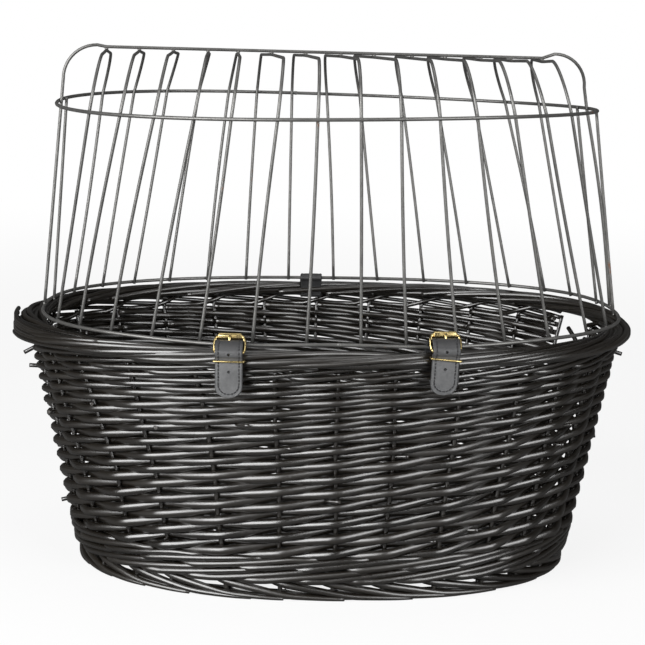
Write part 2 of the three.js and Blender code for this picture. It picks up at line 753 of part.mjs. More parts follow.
// A place where leather goes round the rim: the middle of the rim there, the leather's way
// outwards, and how far inside the rim's middle the lower hoop runs; towards is -1 at the front
function rimPlace(x, towards, turnDegrees) {
  const rim = { halfLength: RIM_HALF_LENGTH - RIM_WIDTH / 2, halfWidth: RIM_HALF_WIDTH - RIM_WIDTH / 2 };
  const depth = ovalDepth(rim.halfLength, rim.halfWidth, BODY_ROUNDNESS, x);
  const origin = vec(x, towards * depth, 0);
  const out = vec(0, towards, 0).applyAxisAngle(UP, THREE.MathUtils.degToRad(turnDegrees));
  let near = 0;
  let far = 2 * RIM_WIDTH;
  while (far - near > 0.01) {
    const half = (near + far) / 2;
    const point = origin.clone().addScaledVector(out, -half);
    const hoop = hoopSide(LOWER_HOOP, 0, point.x - CAGE_SHIFT, towards);
    if (Math.abs(point.y) > Math.abs(hoop.y)) {
      near = half;
    } else {
      far = half;
    }
  }
  return { origin, out, across: UP.clone().cross(out), hoopInset: near };
}

function placePoint(place, across, out, up) {
  return place.origin.clone().addScaledVector(place.across, across).addScaledVector(place.out, out).setZ(up);
}

// Side-view shape, outwards and up, carried across the width of the leather
function acrossPlace(shape, place, width) {
  const geometry = new THREE.ExtrudeGeometry(shape, { depth: width, bevelEnabled: false, curveSegments: 3 });
  geometry.translate(0, 0, -width / 2);
  const frame = new THREE.Matrix4().makeBasis(place.out, UP, place.across.clone().negate());
  frame.setPosition(place.origin);
  return geometry.applyMatrix4(frame);
}

// Front-view shape, across and up, carried outwards from a start
function outPlace(shape, place, start, depth) {
  const geometry = new THREE.ExtrudeGeometry(shape, { depth, bevelEnabled: false, curveSegments: 4 });
  geometry.translate(0, 0, start);
  const frame = new THREE.Matrix4().makeBasis(place.across, UP, place.out);
  frame.setPosition(place.origin);
  return geometry.applyMatrix4(frame);
}

function placeBlock(place, [outLow, outHigh], [low, high], acrossHalf) {
  const shape = new THREE.Shape([
    new THREE.Vector2(outLow, low),
    new THREE.Vector2(outHigh, low),
    new THREE.Vector2(outHigh, high),
    new THREE.Vector2(outLow, high),
  ]);
  return solidOf(acrossPlace(shape, place, 2 * acrossHalf));
}

function disc(p, q, radius, segments) {
  const points = [];
  for (let k = 0; k < segments; k++) {
    const angle = (2 * Math.PI * k) / segments;
    points.push(new THREE.Vector2(p + radius * Math.cos(angle), q + radius * Math.sin(angle)));
  }
  return new THREE.Shape(points);
}

// Where the leather runs, outwards from the middle of the rim and up
const underRim = rimBottom - GAP - LEATHER / 2;
const insideRim = -(RIM_WIDTH / 2 + STRAP_INSIDE_CLEARANCE + LEATHER / 2);
const outsideRim = RIM_WIDTH / 2 + GAP + LEATHER / 2;
const overHoop = lowerHoopHeight + HOOP_WIRE / 2 + GAP + LEATHER / 2;
const strapFace = RIM_WIDTH / 2 + STRAP_CLEARANCE + LEATHER / 2;
const tailFace = strapFace + LEATHER + GAP;
const strapLeftPlace = rimPlace(STRAP_LEFT_X, -1, -STRAP_TURN);
const strapRightPlace = rimPlace(STRAP_RIGHT_X, -1, STRAP_TURN);
const rearLoopPlace = rimPlace(REAR_LOOP_X, 1, 0);

// Rear loop: one closed band round the rim and the hoop
function makeRearLoop() {
  const hoop = -rearLoopPlace.hoopInset;
  const ring = (inset) => {
    const outer = outsideRim + LEATHER / 2 - inset;
    const inner = insideRim - LEATHER / 2 + inset;
    const bottom = underRim - LEATHER / 2 + inset;
    const top = overHoop + LEATHER / 2 - inset;
    const bend = LEATHER_BEND - inset / 2;
    const shoulder = rimTop + GAP + LEATHER - inset;
    return [
      [inner, bottom + bend],
      [inner + bend, bottom],
      [outer - bend, bottom],
      [outer, bottom + bend],
      [outer, rimMiddle + RIM_HEIGHT / 6],
      [outer - LEATHER_BEND, rimTop + LEATHER - inset],
      [0, shoulder + LEATHER],
      [hoop + HOOP_WIRE, top],
      [hoop - HOOP_WIRE / 2, top],
      [inner, top - 2 * bend],
    ].map(([p, q]) => new THREE.Vector2(p, q));
  };
  const shape = new THREE.Shape(ring(0));
  shape.holes.push(new THREE.Path(ring(LEATHER)));
  addPiece('rear_loop', acrossPlace(shape, rearLoopPlace, REAR_LOOP_WIDTH), LEATHER_FINISH);
}

// Buckle: the heel bar lies in the strap's eye and the frame leans back over the rim.
// Points are given by how far they reach from the heel bar towards the roller, and by
// their height off the buckle's plane
const lean = THREE.MathUtils.degToRad(BUCKLE_LEAN);
const alongBuckle = new THREE.Vector2(-Math.sin(lean), Math.cos(lean));
const outOfBuckle = new THREE.Vector2(Math.cos(lean), Math.sin(lean));
const eyeRadius = BUCKLE_WIRE / 2 + GAP + LEATHER;
const tailOverHeel = eyeRadius + GAP + LEATHER / 2;
const tailBehindRoller = ROLLER_DIAMETER / 2 + GAP + LEATHER / 2;
const tailJoint = rimMiddle + RIM_HEIGHT / 6;

function buckleSide(heel, reach, height) {
  return heel.clone().addScaledVector(alongBuckle, reach).addScaledVector(outOfBuckle, height);
}

function bucklePoint({ place, heel }, across, reach, height) {
  const side = buckleSide(heel, reach, height);
  return placePoint(place, across, side.x, side.y);
}

function makeStrap({ name, place, heel }) {
  const start = heel.y - eyeRadius + LEATHER / 2;
  const path = [
    [strapFace, start],
    [strapFace, underRim + LEATHER_BEND],
    [strapFace - LEATHER_BEND, underRim],
    [insideRim + LEATHER_BEND, underRim],
    [insideRim, underRim + LEATHER_BEND],
    [insideRim, tailJoint - GAP],
  ];
  const eye = solidOf(acrossPlace(disc(heel.x, heel.y, eyeRadius, ROUND_SIDES), place, EYE_WIDTH));
  const boreShape = disc(heel.x, heel.y, BUCKLE_WIRE / 2 + GAP, ROUND_SIDES);
  const bore = solidOf(acrossPlace(boreShape, place, 2 * STRAP_WIDTH));
  const reach = 2 * eyeRadius;
  const slotLow = heel.y - eyeRadius - PRONG_SLOT_DROP;
  const prongHalf = PRONG_WIRE / 2 + GAP;
  const slot = placeBlock(place, [heel.x - reach, heel.x + reach], [slotLow, heel.y + reach], prongHalf);
  const band = solidOf(acrossPlace(ribbonShape(path, LEATHER), place, STRAP_WIDTH));
  addPiece(`strap_${name}`, geometryOf(band.add(eye).subtract(bore).subtract(slot)), LEATHER_FINISH);
}

// Free end of the strap: over the hoop, behind the roller, over the heel bar and down
function makeTail({ name, place, heel, tailLength }) {
  const hoop = -place.hoopInset;
  const [behind, under] = [TAIL_BEHIND, TAIL_UNDER].map(([back, slack]) =>
    buckleSide(heel, BUCKLE_REACH - back, -tailBehindRoller - slack),
  );
  const front = buckleSide(heel, BUCKLE_REACH - tailBehindRoller - TAIL_FRONT, 0);
  const rise = buckleSide(heel, BUCKLE_REACH / 2, tailOverHeel + TAIL_RISE_SLACK);
  const tip = heel.y - tailLength;
  const round = TAIL_HEEL_DEGREES.map((degrees) => {
    const angle = THREE.MathUtils.degToRad(degrees);
    const reach = tailOverHeel + TAIL_HEEL_SLACK;
    return [heel.x + reach * Math.cos(angle), heel.y + reach * Math.sin(angle)];
  });
  const path = [
    [insideRim, tailJoint],
    [insideRim, overHoop - 2 * LEATHER_BEND],
    [hoop - HOOP_WIRE, overHoop],
    [hoop + HOOP_WIRE, overHoop],
    [behind.x, behind.y],
    [under.x, under.y],
    [front.x, front.y],
    [rise.x, rise.y],
    ...round,
    [tailFace, heel.y - tailOverHeel - 2 * GAP],
    [tailFace, tip],
  ];
  const band = solidOf(acrossPlace(ribbonShape(path, LEATHER), place, STRAP_WIDTH));
  const half = STRAP_WIDTH / 2;
  const outline = new THREE.Shape();
  outline.moveTo(-half, rimTop + RIM_HEIGHT);
  outline.lineTo(-half, tip + half);
  outline.quadraticCurveTo(-half, tip, 0, tip);
  outline.quadraticCurveTo(half, tip, half, tip + half);
  outline.lineTo(half, rimTop + RIM_HEIGHT);
  let tail = band.intersect(solidOf(outPlace(outline, place, -2 * RIM_WIDTH, 4 * RIM_WIDTH)));
  const hole = disc(0, heel.y - TAIL_HOLE_DROP, TAIL_HOLE / 2, HOLE_SIDES);
  tail = tail.subtract(solidOf(outPlace(hole, place, strapFace, RIM_WIDTH)));
  const slotLow = heel.y + LEATHER;
  const slotHigh = heel.y + BUCKLE_REACH;
  tail = tail.subtract(placeBlock(place, [0, 2 * RIM_WIDTH], [slotLow, slotHigh], PRONG_WIRE / 2 + GAP));
  addPiece(`strap_tail_${name}`, geometryOf(tail), LEATHER_FINISH);
}

function makeFrame(buckle) {
  const halfWidth = BUCKLE_WIDTH / 2 - BUCKLE_WIRE / 2;
  const halfHeel = HEEL_WIDTH / 2;
  const halfTop = ROLLER_LENGTH / 2 + 3 * GAP;
  const outline = [
    [-halfHeel, 0],
    [halfHeel, 0],
    [halfWidth, CHAMFER_HEEL],
    [halfWidth, BUCKLE_REACH - CHAMFER_TOP],
    [halfTop, BUCKLE_REACH],
    [-halfTop, BUCKLE_REACH],
    [-halfWidth, BUCKLE_REACH - CHAMFER_TOP],
    [-halfWidth, CHAMFER_HEEL],
  ];
  const path = roundedOutline(outline, BUCKLE_CORNER).map(([across, reach]) =>
    bucklePoint(buckle, across, reach, 0),
  );
  const { out } = buckle.place;
  const normal = vec(out.x * outOfBuckle.x, out.y * outOfBuckle.x, outOfBuckle.y);
  addPiece(`buckle_frame_${buckle.name}`, wireLoop(path, BUCKLE_WIRE, normal), BRASS);
}

function makeRoller(buckle) {
  const inner = BUCKLE_WIRE / 2 + GAP;
  const outer = ROLLER_DIAMETER / 2;
  const halfLength = ROLLER_LENGTH / 2;
  const profile = [
    [inner, -halfLength],
    [outer, -halfLength],
    [outer, halfLength],
    [inner, halfLength],
    [inner, -halfLength],
  ].map(([p, q]) => new THREE.Vector2(p, q));
  const roller = new THREE.LatheGeometry(profile, ROUND_SIDES);
  const { across, out } = buckle.place;
  const frame = new THREE.Matrix4().makeBasis(out, across, UP);
  if (frame.determinant() < 0) {
    frame.makeBasis(out.clone().negate(), across, UP);
  }
  frame.setPosition(bucklePoint(buckle, 0, BUCKLE_REACH, 0));
  addPiece(`buckle_roller_${buckle.name}`, roller.applyMatrix4(frame), BRASS);
}

// Prong: its root curls under and over the heel bar and its tip rests on the roller
function makeProng(buckle) {
  const eye = BUCKLE_WIRE / 2 + GAP + PRONG_WIRE / 2;
  const rest = ROLLER_DIAMETER / 2 + GAP + PRONG_WIRE / 2;
  const path = [];
  for (let i = 0; i <= PRONG_CURL_STEPS; i++) {
    const angle = THREE.MathUtils.degToRad(PRONG_CURL_START + (PRONG_CURL * i) / PRONG_CURL_STEPS);
    path.push(bucklePoint(buckle, 0, eye * Math.cos(angle), eye * Math.sin(angle)));
  }
  path.push(bucklePoint(buckle, 0, BUCKLE_REACH - ROLLER_DIAMETER / 2, rest + GAP / 2));
  path.push(bucklePoint(buckle, 0, BUCKLE_REACH + GAP, rest));
  path.push(bucklePoint(buckle, 0, BUCKLE_REACH + ROLLER_DIAMETER / 2, rest - PRONG_WIRE / 3));
  addPiece(`buckle_prong_${buckle.name}`, wire(path, PRONG_WIRE), BRASS);
}

// Keeper: a thin wire ring round the strap and its tail
function makeKeeper({ name, place, heel, keeperDrop, keeperTilt }) {
  const half = STRAP_WIDTH / 2 + GAP + KEEPER_WIRE / 2;
  const front = tailFace + LEATHER / 2 + GAP + KEEPER_WIRE / 2;
  const rear = strapFace - LEATHER / 2 - GAP - KEEPER_WIRE / 2;
  const corners = [
    [-half, front],
    [half, front],
    [half, rear],
    [-half, rear],
  ];
  const slope = Math.tan(THREE.MathUtils.degToRad(keeperTilt));
  const path = roundedOutline(corners, KEEPER_CORNER).map(([across, out]) =>
    placePoint(place, across, out, heel.y - keeperDrop - across * slope),
  );
  const normal = UP.clone().addScaledVector(place.across, slope).normalize();
  addPiece(`strap_keeper_${name}`, wireLoop(path, KEEPER_WIRE, normal), BRASS);
}

// Corners of a closed outline softened by cutting each one twice
function roundedOutline(points, radius) {
  const count = points.length;
  return points.flatMap((point, i) => {
    const here = new THREE.Vector2(...point);
    const before = new THREE.Vector2(...points[(i + count - 1) % count]);
    const after = new THREE.Vector2(...points[(i + 1) % count]);
    const back = before.sub(here).normalize().multiplyScalar(radius).add(here);
    const on = after.sub(here).normalize().multiplyScalar(radius).add(here);
    const middle = back.clone().add(on).multiplyScalar(0.25).addScaledVector(here, 0.5);
    return [back, middle, on].map((p) => [p.x, p.y]);
  });
}

makeFoot();
makeFloor();
makeWall();
makeRim();
makeHoop('lower_hoop', LOWER_HOOP);
makeHoop('mid_hoop', MID_HOOP);
makeArches();
makeEndBars();
makeSpine();
makeRearLoop();
const heelOut = strapFace + GAP;
const heelHeight = rimMiddle + HEEL_ABOVE_RIM_MIDDLE;
const buckles = [
  {
    name: 'left',
    place: strapLeftPlace,
    heel: new THREE.Vector2(heelOut, heelHeight),
    tailLength: TAIL_LENGTH_LEFT,
    keeperDrop: KEEPER_DROP_LEFT,
    keeperTilt: 0,
  },
  {
    name: 'right',
    place: strapRightPlace,
    heel: new THREE.Vector2(heelOut, heelHeight + RIGHT_BUCKLE_RISE),
    tailLength: TAIL_LENGTH_RIGHT,
    keeperDrop: KEEPER_DROP_RIGHT,
    keeperTilt: KEEPER_TILT_RIGHT,
  },
];
for (const buckle of buckles) {
  makeStrap(buckle);
  makeTail(buckle);
  makeFrame(buckle);
  makeRoller(buckle);
  makeProng(buckle);
  makeKeeper(buckle);
}

// The origin is set to the middle of the box, at the floor
basket.updateMatrixWorld(true);
const box = new THREE.Box3().setFromObject(basket, true);
basket.position.set(-(box.min.x + box.max.x) / 2, -(box.min.y + box.max.y) / 2, -box.min.z);

export default basket;
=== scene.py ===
"""Woven dog basket for a bicycle: willow weave, wire cage, leather and brass in full detail.

Lengths are written in millimetres, as in the part's source, and made into metres where a
mesh is made. X runs along the basket, the buckled front is towards -Y, and Z is up.
"""

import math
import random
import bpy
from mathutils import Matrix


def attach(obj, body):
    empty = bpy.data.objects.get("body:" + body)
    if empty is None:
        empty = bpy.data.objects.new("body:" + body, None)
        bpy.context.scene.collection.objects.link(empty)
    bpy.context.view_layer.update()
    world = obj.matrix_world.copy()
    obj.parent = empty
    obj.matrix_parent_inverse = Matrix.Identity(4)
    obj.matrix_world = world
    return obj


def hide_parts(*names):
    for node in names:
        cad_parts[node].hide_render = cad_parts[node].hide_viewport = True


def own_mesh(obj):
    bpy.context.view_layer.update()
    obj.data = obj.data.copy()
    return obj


bl_info = {
    "name": "Dog Bicycle Basket",
    "version": (1, 0, 0),
    "blender": (4, 5, 0),
    "location": "View3D > Sidebar > Basket",
    "description": "Builds a woven willow dog basket with a hinged wire cage",
    "category": "Add Mesh",
}

import bmesh
import bpy
import numpy as np
from bpy.props import FloatProperty, FloatVectorProperty, IntProperty, PointerProperty
from mathutils import Matrix, Vector

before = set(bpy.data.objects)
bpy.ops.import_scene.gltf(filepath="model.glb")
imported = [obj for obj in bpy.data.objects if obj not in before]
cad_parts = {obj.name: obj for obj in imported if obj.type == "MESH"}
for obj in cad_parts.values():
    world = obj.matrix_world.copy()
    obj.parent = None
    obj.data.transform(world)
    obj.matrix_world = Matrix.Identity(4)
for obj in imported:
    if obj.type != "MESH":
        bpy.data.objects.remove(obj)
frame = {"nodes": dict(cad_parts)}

MM = 0.001

# Shape of the frame, as in the part's source
GAP = 0.3
FRONT_SHIFT = 0.649
RIM_HALF = (250.0, 185.5)
FOOT_HALF = (199.0, 151.0)
TOP_HALF = (238.5, 178.4)
BODY_ROUNDNESS = 2.25
STAKES = 28
WEAVE_THICKNESS = 13.4
FOOT_TOP = 9.0
FOOT_WIDTH = 15.0
LOWER_WALE = (14.0, 35.0)
UPPER_WALE = (162.6, 176.6)
RIM = (176.9, 198.9)
RIM_HEIGHT = 22.0
RIM_WIDTH = 27.0
RIM_MIDDLE = 187.9
FLOOR = (14.3, 22.3)
FLOOR_CROWN = 3.0
HOLE = (1.08, 2.02)
HOLE_BOTTOM = 154.6
# Places of the stakes that lean or stand unevenly, at the middle of the side and under the rim
UNEVEN_STAKES = (
    (15, 15.00, 14.80),
    (17, 17.02, 16.66),
    (18, 17.88, 17.68),
    (19, 18.99, 18.85),
    (20, 20.08, 20.08),
    (21, 21.09, 21.06),
    (22, 22.04, 22.00),
    (23, 23.08, 23.06),
    (24, 24.12, 24.12),
    (25, 25.01, 25.01),
    (26, 25.85, 25.85),
    (27, 26.72, 26.72),
)
# The stakes up to this one stand evenly
LAST_EVEN_STAKE = 13
# Height where the stakes begin to lean, the rise that brings them to their place under the rim, and
# the most of that lean that they reach above it
LEAN_START = 90
LEAN_RISE = 70
LEAN_MOST = 1.2
# Heights of the side's rows: the rods thin out towards their tips
ROW_HEIGHTS = ((-1, 32.6), (0, 38.4), (8, 88.0), (16, 131.6), (22, 158.4), (28, 179.0))
# The rows of the side, and the last one in the upper band, which ends in a thinner wale
SIDE_ROWS_START = -1
SIDE_ROWS_END = 23
UPPER_ROWS_END = 27
UPPER_BAND = (175.0, 186.4)
UPPER_WALE_SHARE = 0.72
LOWER_WALE_OVERLAP = 0.6

CAGE_SHIFT = 5.0
HOOP_WIRE = 2.8
ARCH_WIRE = 2.5
SPINE_WIRE = 2.6
LOWER_HOOP = {"a": 232.0, "b": 160.6, "n": 2.39, "shift": 0.0, "z": 200.6, "twist": 0.0}
MID_HOOP = {"a": 214.7, "b": 164.9, "n": 2.17, "shift": -6.0, "z": 364.8, "twist": 0.00011}
# How far the straps draw the lower hoop's front down, and where
SAG = 2.6
SAG_AT = (-82.0, 76.0)
SAG_LENGTH = 62.0
REAR_LIFT = 1.0
WIRE_NUB = 1.4
ROOF = 403.3
SHOULDER_RADIUS = 42.0
SHOULDER_LIMIT = 0.55
ROOF_TILT = 0.028
ROOF_CROWN = 0.6
ROOF_FALL = 0.01
# Each arch's foot in front and at the rear, then its shoulder in front and at the rear, as shares
# of the lower hoop's half length
ARCHES = [
    (-0.927, -0.922, -0.784, -0.784),
    (-0.845, -0.828, -0.672, -0.672),
    (-0.737, -0.716, -0.560, -0.552),
    (-0.603, -0.586, -0.435, -0.440),
    (-0.448, -0.444, -0.328, -0.341),
    (-0.280, -0.297, -0.190, -0.250),
    (-0.108, -0.134, -0.078, -0.129),
    (0.065, 0.039, 0.047, -0.013),
    (0.211, 0.207, 0.168, 0.095),
    (0.375, 0.384, 0.280, 0.246),
    (0.534, 0.543, 0.392, 0.362),
    (0.685, 0.698, 0.513, 0.487),
    (0.828, 0.819, 0.616, 0.591),
    (0.914, 0.901, 0.716, 0.711),
]
# Share of the way to its shoulder that a leg has leant at the middle hoop, in front and at the rear
MID_SHARE = {-1: 0.79, 1: 0.72}
SPINE_CORNER = 27.0
# Angle of each of the spine's legs, and how far its corner stands above the arches
SPINE_LEGS = ((180.0, 1.0), (4.0, 3.8))
# Each end bar's angle, and whether it ends under the middle hoop or inside it
END_BARS = (
    ("end_bar_right", -3.5, True),
    ("end_bar_rear_right", 12.0, False),
    ("end_bar_rear_left", 172.0, False),
)

LEATHER = 1.6
STRAP_WIDTH = 20.2
EYE_WIDTH = 17.0
STRAP_FACE = RIM_WIDTH / 2 + 2.3 + LEATHER / 2
TAIL_FACE = STRAP_FACE + LEATHER + GAP
INSIDE_RIM = -(RIM_WIDTH / 2 + 1.6 + LEATHER / 2)
OUTSIDE_RIM = RIM_WIDTH / 2 + GAP + LEATHER / 2
UNDER_RIM = RIM[0] - GAP - LEATHER / 2
OVER_HOOP = LOWER_HOOP["z"] + HOOP_WIRE / 2 + GAP + LEATHER / 2
OVER_FRONT = OVER_HOOP - SAG
TAIL_JOINT = RIM_MIDDLE + RIM_HEIGHT / 6
LEATHER_BEND = 2.4
REAR_LOOP_WIDTH = 18.5
TIP_LENGTH = 8.5
# Length over which a free end leans to one side, and how far before its rest place it hangs once
# it is drawn out of the buckle
LEAN_LENGTH = 34
TAIL_HANG = 4.2
# Where the free end lies behind and under the roller: how far back along the frame, and how far
# off the roller
TAIL_BEHIND = (0.6, 0.2)
TAIL_UNDER = (2.9, -0.8)
TAIL_HEEL_DEGREES = (50, 15, -20, -50)
TAIL_HEEL_SLACK = 0.2
# The rear loop's inner run lies between the rim's rods, and its foot above the border's foot
REAR_LOOP_INNER = -7.0
REAR_LOOP_LIFT = 6.9
# The tool that punches a hole, and the angle from which an edge stays sharp
PUNCH_SIDES = 20
PUNCH_DEPTH = 8
SHARP_DEGREES = 35

BUCKLE_WIRE = 2.1
BUCKLE_WIDTH = 25.8
HEEL_WIDTH = 20.6
BUCKLE_REACH = 13.0
BUCKLE_LEAN = math.radians(32)
HEEL_ABOVE_RIM_MIDDLE = 9.2
CHAMFER_HEEL = 3.2
CHAMFER_TOP = 3.6
BUCKLE_CORNER = 2.0
BUCKLE_SIDE_INSET = 0.9
ROLLER = (4.8, 17.2)
PRONG_WIRE = 1.8
KEEPER_WIRE = 1.3
KEEPER_CORNER = 1.1
HEEL_OUT = STRAP_FACE + GAP
EYE_RADIUS = BUCKLE_WIRE / 2 + GAP + LEATHER


# Ovals


def oval_point(a, b, n, angle):
    """Points of an oval at angles; roundness 2 is an ellipse and more is squarer."""
    c, s = np.cos(angle), np.sin(angle)
    return a * np.sign(c) * np.abs(c) ** (2 / n), b * np.sign(s) * np.abs(s) ** (2 / n)


def oval_normal(a, b, n, x, y):
    """Outward direction at points of an oval."""
    nx = np.sign(x) * np.abs(x / a) ** (n - 1) / a
    ny = np.sign(y) * np.abs(y / b) ** (n - 1) / b
    length = np.hypot(nx, ny)
    return nx / length, ny / length


def oval_depth(a, b, n, x):
    """How far an oval reaches to the front or rear at a distance along it."""
    return b * max(1 - abs(x / a) ** n, 0) ** (1 / n)


def angle_table(a, b, n):
    """Share of the way round an oval at each of many angles."""
    angles = np.linspace(0, 2 * math.pi, 2881)
    x, y = oval_point(a, b, n, angles)
    lengths = np.concatenate([[0], np.cumsum(np.hypot(np.diff(x), np.diff(y)))])
    return lengths / lengths[-1], angles


class Round:
    """Turns places counted in stakes round an oval into angles."""

    def __init__(self, a, b):
        self.shares, self.angles = angle_table(a, b, BODY_ROUNDNESS)

    def angle(self, places):
        places = np.asarray(places, float)
        turns = np.floor(places / STAKES)
        share = places / STAKES - turns
        return np.interp(share, self.shares, self.angles) + 2 * math.pi * turns


def body_half(z):
    """Half length and half width of the body's outer face at a height."""
    share = z / UPPER_WALE[1]
    return (
        FOOT_HALF[0] + (TOP_HALF[0] - FOOT_HALF[0]) * share,
        FOOT_HALF[1] + (TOP_HALF[1] - FOOT_HALF[1]) * share,
    )


BODY_ROUND = Round(*body_half(UPPER_WALE[1] / 2))
RIM_OVAL = (RIM_HALF[0] - RIM_WIDTH / 2, RIM_HALF[1] - RIM_WIDTH / 2)
RIM_ROUND = Round(*RIM_OVAL)
FOOT_OVAL = (FOOT_HALF[0] - FOOT_WIDTH / 2, FOOT_HALF[1] - FOOT_WIDTH / 2)
FOOT_ROUND = Round(*FOOT_OVAL)


def stand(places, z):
    """Places counted in stakes, moved to where the stakes really stand."""
    local = np.mod(places, STAKES)
    even_marks = [(stake, stake, stake) for stake in (0, LAST_EVEN_STAKE, STAKES)]
    marks = [*even_marks[:2], *UNEVEN_STAKES, even_marks[2]]
    even, low, high = np.array(marks, float).T
    share = np.clip((z - LEAN_START) / LEAN_RISE, 0, LEAN_MOST)
    shift = np.interp(local, even, low - even) * (1 - share)
    return places + shift + np.interp(local, even, high - even) * share


def body_points(places, z, offset):
    """Points of the body's middle surface, moved outwards by an offset."""
    places, z, offset = np.broadcast_arrays(*[np.asarray(v, float) for v in (places, z, offset)])
    places = stand(places, z)
    half = [h - WEAVE_THICKNESS / 2 for h in body_half(z)]
    x, y = oval_point(half[0], half[1], BODY_ROUNDNESS, BODY_ROUND.angle(places))
    nx, ny = oval_normal(half[0], half[1], BODY_ROUNDNESS, x, y)
    return np.stack([x + nx * offset, y + ny * offset, z], axis=1)


def ring_points(oval, round_table, places, out, z):
    """Points beside an oval's line: out is outwards and z the height."""
    places, out, z = np.broadcast_arrays(*[np.asarray(v, float) for v in (places, out, z)])
    x, y = oval_point(oval[0], oval[1], BODY_ROUNDNESS, round_table.angle(places))
    nx, ny = oval_normal(oval[0], oval[1], BODY_ROUNDNESS, x, y)
    return np.stack([x + nx * out, y + ny * out, z], axis=1)


# Meshes


def unit(vectors):
    return vectors / np.maximum(np.linalg.norm(vectors, axis=-1, keepdims=True), 1e-12)


class Bundle:
    """Round rods gathered into one mesh, with each rod's grain and tone kept on its corners."""

    def __init__(self, seed=0):
        self.corners, self.faces, self.grain, self.tone, self.cut = [], [], [], [], []
        self.count = 0
        self.draw = random.Random(seed)

    def rod(self, points, radii, side, sides=8, closed=False, flatten=1.0):
        """Adds a rod along points. side is a direction that never lies along it."""
        points = np.asarray(points, float)
        if closed:
            forward = unit(np.roll(points, -1, axis=0) - np.roll(points, 1, axis=0))
        else:
            forward = unit(np.gradient(points, axis=0))
        side = np.broadcast_to(np.asarray(side, float), points.shape)
        across = unit(np.cross(forward, side))
        up = np.cross(across, forward)
        radii = np.broadcast_to(np.asarray(radii, float), len(points))
        flatten = np.broadcast_to(np.asarray(flatten, float), len(points))[:, None, None]
        turns = 2 * math.pi * (np.arange(sides) + 0.5) / sides
        ring = (
            across[:, None] * np.cos(turns)[None, :, None] * flatten
            + up[:, None] * np.sin(turns)[None, :, None]
        )
        corners = points[:, None] + ring * radii[:, None, None]
        steps = np.linalg.norm(np.diff(points, axis=0), axis=1)
        along = np.concatenate([[0], np.cumsum(steps)])
        start = self.draw.uniform(0, 4000)
        tone = self.draw.random()
        grain = np.stack(
            [
                np.broadcast_to((along + start)[:, None], (len(points), sides)),
                np.broadcast_to(np.cos(turns) * radii.mean(), (len(points), sides)) + start % 97,
                np.broadcast_to(np.sin(turns) * radii.mean(), (len(points), sides)),
            ],
            axis=-1,
        )
        base = self.count
        rows = len(points)
        last = rows if closed else rows - 1
        for i in range(last):
            a, b = base + i * sides, base + ((i + 1) % rows) * sides
            for k in range(sides):
                k2 = (k + 1) % sides
                self.faces.append((a + k, a + k2, b + k2, b + k))
        self._add(corners.reshape(-1, 3), grain.reshape(-1, 3), tone, 0.0)
        if not closed:
            self._cap(corners[0][::-1], grain[0][::-1], tone, base, sides, True)
            self._cap(corners[-1], grain[-1], tone, base + (rows - 1) * sides, sides, False)

    def _cap(self, ring, grain, tone, first, sides, start):
        """Closes a rod's end with a slightly domed cut face."""
        middle = ring.mean(axis=0)
        inner = self.count
        small = middle + (ring - middle) * 0.82
        self._add(small, grain, tone, 1.0)
        order = range(sides)
        edge = [first + (sides - 1 - k if start else k) for k in order]
        for k in order:
            k2 = (k + 1) % sides
            self.faces.append((edge[k], edge[k2], inner + k2, inner + k))
        self.faces.append(tuple(inner + k for k in order))

    def _add(self, corners, grain, tone, cut):
        self.corners.append(np.asarray(corners))
        self.grain.append(np.asarray(grain))
        self.tone.append(np.full(len(corners), tone))
        self.cut.append(np.full(len(corners), cut))
        self.count += len(corners)

    def piece(self, name, material):
        """Makes the object, its corners moved to the frame's origin and into metres."""
        corners = np.concatenate(self.corners) + (0, FRONT_SHIFT, 0)
        mesh = bpy.data.meshes.new(name)
        mesh.from_pydata((corners * MM).tolist(), [], self.faces)
        for key, data in (("tone", self.tone), ("cut", self.cut)):
            layer = mesh.attributes.new(key, "FLOAT", "POINT")
            layer.data.foreach_set("value", np.concatenate(data).astype(np.float32))
        layer = mesh.attributes.new("grain", "FLOAT_VECTOR", "POINT")
        layer.data.foreach_set("vector", np.concatenate(self.grain).astype(np.float32).ravel())
        return place_mesh(name, mesh, material)


def place_mesh(name, mesh, material, smooth=True):
    mesh.validate()
    mesh.update()
    if smooth:
        mesh.shade_smooth()
    made = bpy.data.objects.new(name, mesh)
    mesh.materials.append(material)
    bpy.context.scene.collection.objects.link(made)
    return made


def dress(piece, body, slot, *nodes):
    """Lets a piece ride on its body in the place of its CAD nodes."""
    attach(piece, body)
    if nodes:
        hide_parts(*nodes)


def smooth_path(points, per_span):
    """Evenly rounded path through points, with a number of steps from each to the next."""
    points = np.asarray(points, float)
    count = len(points)
    made = []
    for i in range(count - 1):
        p = [points[min(max(i + k, 0), count - 1)] for k in (-1, 0, 1, 2)]
        for t in np.linspace(0, 1, per_span, endpoint=False):
            made.append(
                0.5
                * (
                    2 * p[1]
                    + (p[2] - p[0]) * t
                    + (2 * p[0] - 5 * p[1] + 4 * p[2] - p[3]) * t * t
                    + (3 * p[1] - p[0] - 3 * p[2] + p[3]) * t**3
                )
            )
    made.append(points[-1])
    return np.array(made)


# Shaders


class Value:
    """A node's output that takes part in Python arithmetic through Math nodes."""

    def __init__(self, tree, socket):
        self.tree, self.socket = tree, socket

    def _math(self, operation, a, b):
        node = self.tree.nodes.new("ShaderNodeMath")
        node.operation = operation
        for socket, value in zip(node.inputs, (a, b)):
            feed(self.tree, socket, value)
        return Value(self.tree, node.outputs[0])

    def __add__(self, other):
        return self._math("ADD", self, other)

    def __sub__(self, other):
        return self._math("SUBTRACT", self, other)

    def __rsub__(self, other):
        return self._math("SUBTRACT", other, self)

    def __mul__(self, other):
        return self._math("MULTIPLY", self, other)


def feed(tree, socket, value):
    if isinstance(value, Value):
        tree.links.new(value.socket, socket)
    else:
        socket.default_value = value


